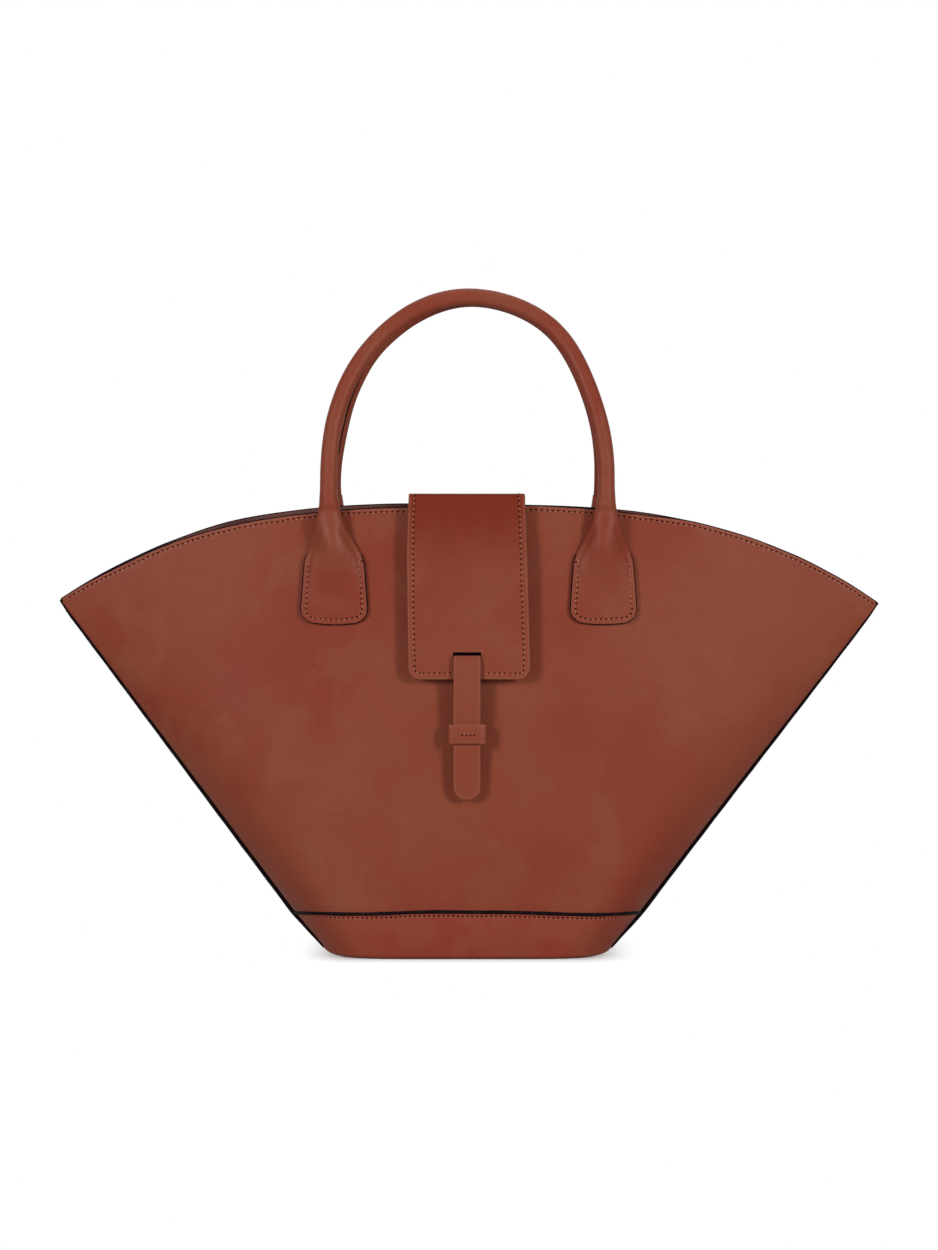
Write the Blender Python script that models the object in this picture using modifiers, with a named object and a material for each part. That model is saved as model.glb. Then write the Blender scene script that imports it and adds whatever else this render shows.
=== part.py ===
"""Leather tote bag with two rolled handles and a flap: the construction, at rest, in metres.

+X is to the right of a viewer in front of the bag, the front faces -Y and +Z is up. The
origin is on the ground under the middle of the bag.
"""

import math

import bmesh
import bpy
from mathutils import Vector

OBJECT_NAME = "leather_tote_bag"

# Clearance between pieces that touch on the real bag
GAP = 0.0003

# Sheet thicknesses
LEATHER = 0.0016
LINING = 0.0010
BOARD = 0.0020

# Outer face of the body seen from the front: mouth corners, waist piping, foot and sole
RIM_HEIGHT = 0.2454
RIM_FALL = 0.0532
MOUTH_HALF_WIDTH = 0.2219
WAIST_HEIGHT = 0.0258
WAIST_SIDE_HEIGHT = 0.0204
WAIST_HALF_WIDTH = 0.0951
FOOT_HEIGHT = 0.0030
FOOT_HALF_WIDTH = 0.0798
SOLE_HALF_WIDTH = 0.0765
RIM_POWER = 3.1

# Outer face of the body seen from the side, at the middle of the front
MOUTH_HALF_DEPTH = 0.0320
WAIST_HALF_DEPTH = 0.0480
FOOT_HALF_DEPTH = 0.0465
SOLE_HALF_DEPTH = 0.0435

# How the depth falls off towards the side seams: (1 - u ** flat) ** end
MOUTH_FLAT_POWER = 2.5
MOUTH_END_POWER = 1.0
BASE_FLAT_POWER = 7.0
BASE_END_POWER = 0.5

# Piping in the side seams and round the waist
SIDE_PIPING_DIAMETER = 0.0022
WAIST_PIPING_DIAMETER = 0.0020
WAIST_PIPING_PROUD = 0.0005
WAIST_PIPING_REACH_SHARE = 0.96

# Pieces inside the base, and how far the lining stays inside its leather
BASE_LINING_MARGIN = 0.0030
BOARD_MARGIN = 0.0025
LINING_DROP = 0.0010
LINING_LIFT = 0.0010

# Handle: a rolled tube over a cord, hinged at the tops of its two tabs
HANDLE_DIAMETER = 0.0094
HANDLE_WALL = 0.0014
HANDLE_HALF_SPAN = 0.0753
HANDLE_RISE = 0.1084
HANDLE_LIMB = 0.0117

# Handle tab: a padded leaf of leather whose neck takes the end of the handle
TAB_RISE = 0.0008
TAB_LENGTH = 0.0640
TAB_HALF_WIDTH = 0.0184
TAB_TOE_IN = 0.0016
TAB_CORNER_RADIUS = 0.0072
TAB_THICKNESS = 0.0026
TAB_NECK_DEPTH = 0.0106
TAB_RIDGE_START_SHARE = 0.15
# Height share, from the bottom to the neck, and half width share
TAB_OUTLINE_SHARES = (
    (0.19, 1.0),
    (0.36, 0.94),
    (0.53, 0.84),
    (0.64, 0.68),
    (0.74, 0.53),
    (0.87, 0.40),
    (1.0, 0.32),
)

# Flap: sewn to the back, over the mouth and down the front
FLAP_HALF_WIDTH = 0.0325
FLAP_RISE = 0.0076
FLAP_STANDOFF = 0.0041
FLAP_DROP = 0.1002
FLAP_CORNER_RADIUS = 0.0066
FLAP_ANCHOR_LENGTH = 0.0500

# Strap through the slot of the flap, and the keeper sewn round it
SLOT_MARGIN = 0.0146
SLOT_HEIGHT = 0.0034
STRAP_HALF_WIDTH = 0.0073
STRAP_THICKNESS = 0.0026
STRAP_DROP = 0.0798
STRAP_PATCH_LENGTH = 0.0140
STRAP_PATCH_THICKNESS = 0.0013
KEEPER_DROP = 0.0440
KEEPER_HALF_WIDTH = 0.0103
KEEPER_LENGTH = 0.0107
KEEPER_WALL = 0.0012
KEEPER_CORNER_RADIUS = 0.0010

# Magnetic snap between the flap and the front panel
SNAP_DROP = 0.0480
SNAP_DIAMETER = 0.0140
SNAP_STUD_THICKNESS = 0.0013
SNAP_SOCKET_THICKNESS = 0.0019

# Fineness of the faceted shapes, as counts
BODY_COLUMNS = 20
LINING_SPARE_COLUMNS = 2
PANEL_ROWS = 6
FOOT_STEPS = 3
WAIST_PIPING_STEPS = 32
HANDLE_ARCH_STEPS = 18
TAB_COLUMNS = 8
CORNER_STEPS = 5
SNAP_SIDES = 32
FINE_BEVEL_STEPS = 2
HANDLE_BEVEL_STEPS = 4
SLOPE_STEP_SHARE = 0.0001
SETTLING_STEPS = 12
SHARP_EDGE = math.radians(35)

# Sizes that follow from the ones above
CORNER_HEIGHT = RIM_HEIGHT - RIM_FALL
TAB_TOP = RIM_HEIGHT + TAB_RISE
TAB_BOTTOM = TAB_TOP - TAB_LENGTH
FLAP_LAYERS = LEATHER + GAP + LINING
CREST_HEIGHT = RIM_HEIGHT + FLAP_RISE
FRONT_CREST = MOUTH_HALF_DEPTH + FLAP_STANDOFF + FLAP_LAYERS
BACK_CREST = MOUTH_HALF_DEPTH + GAP + LEATHER
FLAP_BOTTOM = CREST_HEIGHT - FLAP_DROP
SLOT_TOP = FLAP_BOTTOM + SLOT_MARGIN
BODY_LEAN = math.atan2(WAIST_HALF_DEPTH - MOUTH_HALF_DEPTH, RIM_HEIGHT - WAIST_HEIGHT)
WAIST_ROOM = WAIST_PIPING_DIAMETER / 2 + GAP
HANDLE_AXIS_HEIGHT = TAB_TOP + GAP + HANDLE_DIAMETER / 2

# Linear base colour, roughness and metallic value of each finish
FINISHES = {
    "leather": ((0.240, 0.058, 0.036), 0.42, 0.0),
    "flap_leather": ((0.215, 0.040, 0.024), 0.40, 0.0),
    "black_edge": ((0.012, 0.006, 0.008), 0.45, 0.0),
    "lining": ((0.100, 0.042, 0.034), 0.85, 0.0),
    "board": ((0.180, 0.120, 0.080), 0.90, 0.0),
    "cord": ((0.620, 0.560, 0.470), 0.90, 0.0),
    "snap_metal": ((0.560, 0.570, 0.580), 0.30, 1.0),
}


def clear_scene():
    for obj in list(bpy.data.objects):
        bpy.data.objects.remove(obj, do_unlink=True)


def parts_collection():
    collection = bpy.data.collections.new(OBJECT_NAME)
    bpy.context.scene.collection.children.link(collection)
    return collection


def finish(obj, kind):
    """Gives the object its own material."""
    colour, roughness, metallic = FINISHES[kind]
    material = bpy.data.materials.new(f"{obj.name}_{kind}")
    material.use_nodes = True
    shader = material.node_tree.nodes["Principled BSDF"]
    shader.inputs["Base Color"].default_value = (*colour, 1.0)
    shader.inputs["Roughness"].default_value = roughness
    shader.inputs["Metallic"].default_value = metallic
    obj.data.materials.append(material)
    return obj


def place(obj, collection, parent=None, location=(0.0, 0.0, 0.0), rotation=(0.0, 0.0, 0.0)):
    collection.objects.link(obj)
    obj.parent = parent
    obj.location = location
    obj.rotation_euler = rotation
    return obj


def joint_empty(name, collection, location, lean=0.0, parent=None):
    """An empty on a joint's axis, which runs along X. Its Z leans towards +Y by the angle."""
    empty = bpy.data.objects.new(name, None)
    return place(empty, collection, parent, location, (-lean, 0.0, 0.0))


def turned_copy(obj, name, kind, collection):
    """The same piece on the back of the bag: its shape turned half round the upright axis."""
    copy = bpy.data.objects.new(name, obj.data.copy())
    copy.data.materials.clear()
    finish(copy, kind)
    return place(copy, collection, rotation=(0.0, 0.0, math.pi))


def smooth(obj):
    obj.data.shade_smooth()
    obj.data.set_sharp_from_angle(angle=SHARP_EDGE)
    return obj


def sheet_between(name, outer, inner):
    """A closed sheet between two like grids of points, the outer face and the inner one."""
    mesh = bmesh.new()
    faces = [[[mesh.verts.new(point) for point in row] for row in grid] for grid in (outer, inner)]
    rows = range(len(outer) - 1)
    columns = range(len(outer[0]) - 1)
    for grid in faces:
        for r in rows:
            for c in columns:
                mesh.faces.new((grid[r][c], grid[r][c + 1], grid[r + 1][c + 1], grid[r + 1][c]))
    top = len(rows)
    right = len(columns)
    border = [(0, c) for c in columns] + [(r, right) for r in rows]
    border += [(top, right - c) for c in columns] + [(top - r, 0) for r in rows]
    for (r0, c0), (r1, c1) in zip(border, border[1:] + border[:1]):
        mesh.faces.new((faces[0][r0][c0], faces[1][r0][c0], faces[1][r1][c1], faces[0][r1][c1]))
    bmesh.ops.recalc_face_normals(mesh, faces=mesh.faces)
    data = bpy.data.meshes.new(name)
    mesh.to_mesh(data)
    mesh.free()
    return smooth(bpy.data.objects.new(name, data))


def poly_curve(name, points, radius, bevel, caps):
    data = bpy.data.curves.new(name, "CURVE")
    data.dimensions = "3D"
    data.bevel_depth = radius
    data.bevel_resolution = bevel
    data.use_fill_caps = caps
    spline = data.splines.new("POLY")
    spline.points.add(len(points) - 1)
    for target, point in zip(spline.points, points):
        target.co = (*point, 1.0)
    return bpy.data.objects.new(name, data)


def flat_plate(name, outlines, thickness):
    """A plate in the XY plane from an outline, and the outlines of its holes."""
    data = bpy.data.curves.new(name, "CURVE")
    data.dimensions = "2D"
    data.fill_mode = "BOTH"
    data.extrude = thickness / 2
    for outline in outlines:
        spline = data.splines.new("POLY")
        spline.points.add(len(outline) - 1)
        for target, (x, y) in zip(spline.points, outline):
            target.co = (x, y, 0.0, 1.0)
        spline.use_cyclic_u = True
    return bpy.data.objects.new(name, data)


def corner_arc(x, y, radius, start, end):
    """Points of an arc round (x, y), in quarter turns."""
    angles = [(start + (end - start) * i / CORNER_STEPS) * math.pi / 2 for i in range(CORNER_STEPS + 1)]
    return [(x + radius * math.cos(angle), y + radius * math.sin(angle)) for angle in angles]


def round_bottomed(half_width, top, bottom, radius):
    """An outline with square corners above and round ones below."""
    outline = [(-half_width, top)]
    outline += corner_arc(radius - half_width, bottom + radius, radius, 2, 3)
    outline += corner_arc(half_width - radius, bottom + radius, radius, 3, 4)
    return outline + [(half_width, top)]


def rectangle(half_width, low, high):
    return [(-half_width, low), (half_width, low), (half_width, high), (-half_width, high)]


def rounded_rectangle(half_width, low, high, radius):
    outline = corner_arc(half_width - radius, high - radius, radius, 0, 1)
    outline += corner_arc(radius - half_width, high - radius, radius, 1, 2)
    outline += corner_arc(radius - half_width, low + radius, radius, 2, 3)
    return outline + corner_arc(half_width - radius, low + radius, radius, 3, 4)


def column_shares(short=0):
    """Shares of the half width, closer together towards the side seams."""
    steps = range(short, BODY_COLUMNS + 1 - short)
    return [math.sin(math.pi * (i / BODY_COLUMNS - 0.5)) for i in steps]


def mix(a, b, share):
    return a + (b - a) * share


def ring(half_width, half_depth, side_height, middle_height):
    """A curve across the front of the base, whose ends meet the back's at the side seams."""

    def point(u):
        fall = (1 - abs(u) ** BASE_FLAT_POWER) ** BASE_END_POWER
        depth = mix(GAP / 2, half_depth, fall)
        return Vector((half_width * u, -depth, mix(side_height, middle_height, fall)))

    return point


def rim(u):
    """The top edge of the front panel. Its two leathers lie flat on each other at the corners."""
    corner_depth = LEATHER + GAP / 2
    fall = (1 - abs(u) ** MOUTH_FLAT_POWER) ** MOUTH_END_POWER
    depth = corner_depth + (MOUTH_HALF_DEPTH - corner_depth) * fall
    height = RIM_HEIGHT - (RIM_HEIGHT - CORNER_HEIGHT) * abs(u) ** RIM_POWER
    return Vector((MOUTH_HALF_WIDTH * u, -depth, height))


def inset(curve, distance, lift=0.0):
    """The curve moved level towards the inside of the bag, then lifted."""

    def point(u):
        ahead = curve(min(u + SLOPE_STEP_SHARE, 1.0))
        behind = curve(max(u - SLOPE_STEP_SHARE, -1.0))
        inward = Vector((behind.y - ahead.y, ahead.x - behind.x, 0.0)).normalized()
        return curve(u) + inward * distance + Vector((0.0, 0.0, lift))

    return point


def share_between(low, high, value):
    return (value - low) / (high - low)


def waist_ring(above):
    """The outline a little above the waist piping's middle, or below it where the value is negative."""
    if above < 0:
        far_height, far_half_width = FOOT_HEIGHT, FOOT_HALF_WIDTH
    else:
        far_height, far_half_width = CORNER_HEIGHT, MOUTH_HALF_WIDTH
    share = share_between(WAIST_SIDE_HEIGHT, far_height, WAIST_SIDE_HEIGHT + above)
    half_width = mix(WAIST_HALF_WIDTH, far_half_width, share)
    return ring(half_width, WAIST_HALF_DEPTH, WAIST_SIDE_HEIGHT + above, WAIST_HEIGHT + above)


def sole_ring(turn):
    """The outline where the band turns under the bag: turn 0 is flat and 1 is upright."""
    out = math.sin(turn * math.pi / 2)
    up = 1 - math.cos(turn * math.pi / 2)
    half_width = mix(SOLE_HALF_WIDTH, FOOT_HALF_WIDTH, out)
    half_depth = mix(SOLE_HALF_DEPTH, FOOT_HALF_DEPTH, out)
    height = mix(GAP, FOOT_HEIGHT, up)
    return ring(half_width, half_depth, height, height)


def panel_rows(depth_in, low_share=0.0, high_share=1.0, short=0):
    """Rows of points of the panel's face, moved in by a depth. Its lines run straight up to the rim."""
    low = inset(waist_ring(WAIST_ROOM), depth_in)
    high = inset(rim, depth_in)
    shares = [mix(low_share, high_share, r / PANEL_ROWS) for r in range(PANEL_ROWS + 1)]
    return [[low(u).lerp(high(u), share) for u in column_shares(short)] for share in shares]


def panel_depth(x, z):
    """How far the panel's outer face stands from the middle plane at a place in the front view."""
    low = waist_ring(WAIST_ROOM)
    share = share_between(low(0.0).z, RIM_HEIGHT, z)
    for _ in range(SETTLING_STEPS):
        u = x / mix(low(1.0).x, MOUTH_HALF_WIDTH, share)
        share = share_between(low(u).z, rim(u).z, z)
    return -low(u).lerp(rim(u), share).y


def make_front_panel():
    return sheet_between("front_panel", panel_rows(0.0), panel_rows(LEATHER))


def make_front_band():
    turns = [i / FOOT_STEPS for i in range(FOOT_STEPS + 1)]
    outer = [sole_ring(turn) for turn in turns] + [waist_ring(-WAIST_ROOM)]
    inner = []
    for turn in turns:
        inward = LEATHER * math.sin(turn * math.pi / 2)
        lift = LEATHER * math.cos(turn * math.pi / 2)
        inner.append(inset(sole_ring(turn), inward, lift))
    inner.append(inset(waist_ring(-WAIST_ROOM), LEATHER))
    shares = column_shares()
    rows = [[[curve(u) for u in shares] for curve in curves] for curves in (outer, inner)]
    return sheet_between("front_base_band", *rows)


def lining_rows(depth_in):
    low = inset(sole_ring(1.0), depth_in, LINING_LIFT)
    shares = column_shares(LINING_SPARE_COLUMNS)
    top_share = 1 - LINING_DROP / (RIM_HEIGHT - WAIST_HEIGHT)
    return [[low(u) for u in shares]] + panel_rows(depth_in, 0.0, top_share, LINING_SPARE_COLUMNS)


def make_front_lining():
    start = LEATHER + GAP
    return sheet_between("front_lining", lining_rows(start), lining_rows(start + LINING))


def base_plate(name, half_width, half_depth, low, thickness):
    """A level plate with the outline of the base."""
    shares = column_shares()
    depths = [half_depth * (1 - abs(u) ** BASE_FLAT_POWER) ** BASE_END_POWER for u in shares]
    front = [(half_width * u, -depth) for u, depth in zip(shares, depths)]
    back = [(x, -y) for x, y in reversed(front[1:-1])]
    plate = flat_plate(name, [front + back], thickness)
    plate.location.z = low + thickness / 2
    return plate


def make_base(collection):
    panel = base_plate("base_panel", SOLE_HALF_WIDTH - GAP, SOLE_HALF_DEPTH - GAP, 0.0, LEATHER)
    board_low = LEATHER + GAP
    margin = BOARD_MARGIN
    board = base_plate(
        "base_stiffener", SOLE_HALF_WIDTH - margin, SOLE_HALF_DEPTH - margin, board_low, BOARD
    )
    lining_low = board_low + BOARD + GAP
    margin = BASE_LINING_MARGIN
    lining = base_plate(
        "base_lining", FOOT_HALF_WIDTH - margin, FOOT_HALF_DEPTH - margin, lining_low, LINING
    )
    for obj, kind in ((panel, "leather"), (board, "board"), (lining, "lining")):
        finish(obj, kind)
        place(obj, collection, location=obj.location.copy())


def side_piping_points():
    """The piping's middle line beside the right side seam, from the mouth corner to the foot."""
    edge = [
        Vector((MOUTH_HALF_WIDTH, CORNER_HEIGHT)),
        Vector((WAIST_HALF_WIDTH, WAIST_SIDE_HEIGHT)),
        Vector((FOOT_HALF_WIDTH, FOOT_HEIGHT)),
    ]
    runs = [(b - a).normalized() for a, b in zip(edge, edge[1:])]
    outward = [Vector((-run.y, run.x)) for run in runs]
    corner = (outward[0] + outward[1]).normalized()
    away = SIDE_PIPING_DIAMETER / 2 + GAP
    offsets = [outward[0] * away, corner * away / corner.dot(outward[0]), outward[1] * away]
    flat = [point + offset for point, offset in zip(edge, offsets)]
    return [Vector((point.x, 0.0, point.y)) for point in flat]


def make_side_pipings(collection):
    points = side_piping_points()
    for name, side in (("left_side_piping", -1), ("right_side_piping", 1)):
        mirrored = [Vector((side * point.x, point.y, point.z)) for point in points]
        piping = poly_curve(name, mirrored, SIDE_PIPING_DIAMETER / 2, FINE_BEVEL_STEPS, caps=True)
        place(finish(piping, "black_edge"), collection)


def make_front_waist_piping():
    curve = inset(waist_ring(0.0), WAIST_PIPING_DIAMETER / 2 - WAIST_PIPING_PROUD)
    turns = [2 * i / WAIST_PIPING_STEPS - 1 for i in range(WAIST_PIPING_STEPS + 1)]
    points = [curve(math.sin(WAIST_PIPING_REACH_SHARE * turn * math.pi / 2)) for turn in turns]
    return poly_curve("front_base_piping", points, WAIST_PIPING_DIAMETER / 2, FINE_BEVEL_STEPS, caps=True)


def tab_rows_and_half_widths():
    """Heights and half widths of the tab, from its round corners up to its neck."""
    height = TAB_TOP - TAB_BOTTOM
    rows = []
    for i in range(CORNER_STEPS + 1):
        turn = i / CORNER_STEPS * math.pi / 2
        z = TAB_BOTTOM + TAB_CORNER_RADIUS * (1 - math.cos(turn))
        rows.append((z, TAB_HALF_WIDTH - TAB_CORNER_RADIUS * (1 - math.sin(turn))))
    for height_share, width_share in TAB_OUTLINE_SHARES:
        rows.append((TAB_BOTTOM + height * height_share, TAB_HALF_WIDTH * width_share))
    return rows


def tab_thickness(z, across):
    """The padded ridge rises from the leaf towards the neck, where it is as deep as the handle."""
    climb = max(0.0, share_between(TAB_RIDGE_START_SHARE, 1.0, share_between(TAB_BOTTOM, TAB_TOP, z)))
    ridge = (TAB_NECK_DEPTH - TAB_THICKNESS) * climb
    return TAB_THICKNESS + ridge * math.sqrt(1 - across**2)


def make_front_tab(name, middle):
    back = []
    face = []
    for z, half_width in tab_rows_and_half_widths():
        shares = [2 * c / TAB_COLUMNS - 1 for c in range(TAB_COLUMNS + 1)]
        toe_in = TAB_TOE_IN * share_between(TAB_TOP, TAB_BOTTOM, z)
        line = middle - math.copysign(toe_in, middle)
        places = [(line + half_width * share, share) for share in shares]
        back.append([Vector((x, -panel_depth(x, z) - GAP, z)) for x, _ in places])
        face.append(
            [Vector((x, -panel_depth(x, z) - GAP - tab_thickness(z, share), z)) for x, share in places]
        )
    return sheet_between(name, face, back)


def handle_axis_depth():
    return panel_depth(HANDLE_HALF_SPAN, TAB_TOP) + GAP + TAB_NECK_DEPTH / 2


def handle_reach():
    """How far the handle leans in from its axis to lie against the other one."""
    return handle_axis_depth() - HANDLE_DIAMETER / 2 - GAP / 2


def handle_path(drop):
    """The handle's middle line in its own plane, from one end to the other, drop below its axis."""
    apex = math.hypot(HANDLE_RISE, handle_reach())
    limb = [Vector((HANDLE_HALF_SPAN, 0.0, -drop)), Vector((HANDLE_HALF_SPAN, 0.0, 0.0))]
    arch = []
    for i in range(HANDLE_ARCH_STEPS + 1):
        angle = math.pi * i / HANDLE_ARCH_STEPS
        rise = (apex - HANDLE_LIMB) * math.sin(angle)
        arch.append(Vector((HANDLE_HALF_SPAN * math.cos(angle), 0.0, HANDLE_LIMB + rise)))
    far_limb = [Vector((-point.x, point.y, point.z)) for point in reversed(limb)]
    return limb + arch + far_limb


def make_handle_leather(name):
    """An open tube whose ends are round about the hinge axis, so that they turn on the tabs."""
    radius = HANDLE_DIAMETER / 2
    curve = poly_curve(name, handle_path(radius), radius, HANDLE_BEVEL_STEPS, caps=False)
    bpy.context.scene.collection.objects.link(curve)
    graph = bpy.context.evaluated_depsgraph_get()
    data = bpy.data.meshes.new_from_object(curve.evaluated_get(graph))
    bpy.data.objects.remove(curve, do_unlink=True)
    lowest = min(vertex.co.z for vertex in data.vertices)
    for vertex in data.vertices:
        if vertex.co.z < lowest + GAP:
            vertex.co.z = -math.sqrt(max(0.0, radius**2 - vertex.co.y**2))
    handle = bpy.data.objects.new(name, data)
    wall = handle.modifiers.new("wall", "SOLIDIFY")
    wall.thickness = HANDLE_WALL
    wall.offset = -1.0
    return smooth(handle)


def make_handle_core(name):
    """The cord inside, cut off so that its ends too stay inside the round about the axis."""
    radius = HANDLE_DIAMETER / 2 - HANDLE_WALL - GAP
    drop = math.sqrt((HANDLE_DIAMETER / 2) ** 2 - radius**2)
    return poly_curve(name, handle_path(drop), radius, FINE_BEVEL_STEPS, caps=True)


def make_handles(collection):
    lean = math.atan2(handle_reach(), HANDLE_RISE)
    depth = handle_axis_depth()
    front = joint_empty("front_handle_axis", collection, (0.0, -depth, HANDLE_AXIS_HEIGHT), lean)
    back = joint_empty("back_handle_axis", collection, (0.0, depth, HANDLE_AXIS_HEIGHT), -lean)
    for side, parent in (("front", front), ("back", back)):
        leather = make_handle_leather(f"{side}_handle_leather")
        place(finish(leather, "leather"), collection, parent)
        core = make_handle_core(f"{side}_handle_core")
        place(finish(core, "cord"), collection, parent)


def upright_plate(name, outlines, inner_face, thickness, kind, collection, parent):
    """A plate in the parent's XZ plane. The parent's +Y points into the bag, as inner_face does."""
    plate = finish(flat_plate(name, outlines, thickness), kind)
    middle = (0.0, inner_face - thickness / 2, 0.0)
    return place(plate, collection, parent, middle, (math.pi / 2, 0.0, 0.0))


def level_plate(name, half_width, low, high, top, thickness, kind, collection, parent):
    plate = finish(flat_plate(name, [rectangle(half_width, low, high)], thickness), kind)
    return place(plate, collection, parent, (0.0, 0.0, top - thickness / 2))


def along_the_flap(drop):
    """Length along the leaning flap that goes down by the drop."""
    return drop / math.cos(BODY_LEAN)


def make_flap(collection):
    bridge_axis = joint_empty("flap_bridge_axis", collection, (0.0, BACK_CREST, CREST_HEIGHT))
    length = BACK_CREST + FRONT_CREST - FLAP_LAYERS - GAP
    level_plate(
        "flap_bridge", FLAP_HALF_WIDTH, -length, 0.0, 0.0, LEATHER, "flap_leather", collection, bridge_axis
    )
    level_plate(
        "flap_bridge_lining",
        FLAP_HALF_WIDTH,
        -length,
        0.0,
        -LEATHER - GAP,
        LINING,
        "lining",
        collection,
        bridge_axis,
    )

    front_axis = joint_empty(
        "flap_front_axis", collection, (0.0, -BACK_CREST - FRONT_CREST, 0.0), BODY_LEAN, bridge_axis
    )
    bottom = -along_the_flap(FLAP_DROP)
    outline = round_bottomed(FLAP_HALF_WIDTH, 0.0, bottom, FLAP_CORNER_RADIUS)
    slot_top = -along_the_flap(CREST_HEIGHT - SLOT_TOP)
    slot = rectangle(STRAP_HALF_WIDTH + GAP, slot_top - SLOT_HEIGHT, slot_top)
    shape = [outline, slot]
    upright_plate("flap_front", shape, LEATHER, LEATHER, "flap_leather", collection, front_axis)
    upright_plate("flap_front_lining", shape, FLAP_LAYERS, LINING, "lining", collection, front_axis)
    return front_axis


def make_flap_anchor(collection):
    """The flap's root, sewn flat on the back panel up to just under the bridge."""
    top = CREST_HEIGHT - FLAP_LAYERS - GAP
    axis = joint_empty("flap_anchor_seat", collection, (0.0, MOUTH_HALF_DEPTH, RIM_HEIGHT), -BODY_LEAN)
    above = along_the_flap(top - RIM_HEIGHT)
    outline = rounded_rectangle(FLAP_HALF_WIDTH, above - FLAP_ANCHOR_LENGTH, above, FLAP_CORNER_RADIUS)
    top_corners = rectangle(FLAP_HALF_WIDTH, above - FLAP_ANCHOR_LENGTH, above)[2:]
    lower = [point for point in outline if point[1] < above - FLAP_ANCHOR_LENGTH / 2]
    upright_plate(
        "flap_anchor", [top_corners + lower], GAP + LEATHER, LEATHER, "flap_leather", collection, axis
    )


def make_strap(collection, flap_axis):
    slot_top = -along_the_flap(CREST_HEIGHT - SLOT_TOP)
    tongue_top = slot_top - GAP
    behind = FLAP_LAYERS + GAP
    patch_back = behind + STRAP_PATCH_THICKNESS
    # Side view of the anchor: a tongue through the slot and a patch up the flap's back
    profile = [
        (0.0, tongue_top),
        (behind, tongue_top),
        (behind, tongue_top + STRAP_PATCH_LENGTH),
        (patch_back, tongue_top + STRAP_PATCH_LENGTH),
        (patch_back, tongue_top - STRAP_THICKNESS),
        (0.0, tongue_top - STRAP_THICKNESS),
    ]
    anchor = finish(flat_plate("strap_anchor", [profile], 2 * STRAP_HALF_WIDTH), "leather")
    place(anchor, collection, flap_axis, rotation=(math.pi / 2, 0.0, math.pi / 2))

    out = STRAP_THICKNESS + GAP
    strap_axis = joint_empty("strap_axis", collection, (0.0, -out, tongue_top), 0.0, flap_axis)
    tip = -along_the_flap(STRAP_DROP)
    outline = round_bottomed(STRAP_HALF_WIDTH, 0.0, tip, STRAP_HALF_WIDTH)
    upright_plate("strap", [outline], STRAP_THICKNESS, STRAP_THICKNESS, "leather", collection, strap_axis)

    room = rectangle(STRAP_HALF_WIDTH + GAP, -GAP, STRAP_THICKNESS + GAP)
    wall = GAP + KEEPER_WALL
    loop = rounded_rectangle(KEEPER_HALF_WIDTH, -wall, STRAP_THICKNESS + wall, KEEPER_CORNER_RADIUS)
    keeper = finish(flat_plate("keeper", [loop, room], KEEPER_LENGTH), "leather")
    place(keeper, collection, strap_axis, (0.0, 0.0, -along_the_flap(KEEPER_DROP)))


def make_disc(name, thickness):
    """A disc across the parent's Y axis, from its origin towards -Y."""
    mesh = bmesh.new()
    radius = SNAP_DIAMETER / 2
    bmesh.ops.create_cone(
        mesh, cap_ends=True, segments=SNAP_SIDES, radius1=radius, radius2=radius, depth=thickness
    )
    bmesh.ops.translate(mesh, verts=mesh.verts, vec=(0.0, 0.0, thickness / 2))
    data = bpy.data.meshes.new(name)
    mesh.to_mesh(data)
    mesh.free()
    return smooth(finish(bpy.data.objects.new(name, data), "snap_metal"))


def make_snap(collection, flap_axis):
    """Two discs behind the flap. The stud goes with the flap and the socket stays on the panel."""
    level = -along_the_flap(SNAP_DROP)
    upright = (math.pi / 2, 0.0, 0.0)
    stud_back = FLAP_LAYERS + GAP + SNAP_STUD_THICKNESS
    stud = make_disc("snap_stud", SNAP_STUD_THICKNESS)
    place(stud, collection, flap_axis, (0.0, stud_back, level), upright)

    seat = joint_empty("snap_seat", collection, (0.0, -FRONT_CREST, CREST_HEIGHT), BODY_LEAN)
    socket_back = stud_back + GAP + SNAP_SOCKET_THICKNESS
    socket = make_disc("snap_socket", SNAP_SOCKET_THICKNESS)
    place(socket, collection, seat, (0.0, socket_back, level), upright)


def main():
    clear_scene()
    parts = parts_collection()
    mirrored = (
        (make_front_panel(), "back_panel", "leather"),
        (make_front_band(), "back_base_band", "leather"),
        (make_front_lining(), "back_lining", "lining"),
        (make_front_waist_piping(), "back_base_piping", "black_edge"),
        (make_front_tab("front_left_tab", -HANDLE_HALF_SPAN), "back_right_tab", "leather"),
        (make_front_tab("front_right_tab", HANDLE_HALF_SPAN), "back_left_tab", "leather"),
    )
    for obj, back_name, kind in mirrored:
        place(finish(obj, kind), parts)
        turned_copy(obj, back_name, kind, parts)
    make_base(parts)
    make_side_pipings(parts)
    make_handles(parts)
    make_flap_anchor(parts)
    flap_axis = make_flap(parts)
    make_strap(parts, flap_axis)
    make_snap(parts, flap_axis)


main()
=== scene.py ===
"""Leather tote bag: the looks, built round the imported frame. Metres, front towards -Y, +Z up."""

import math

import bmesh
import bpy
import numpy as np
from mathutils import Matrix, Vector
from mathutils.kdtree import KDTree

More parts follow.
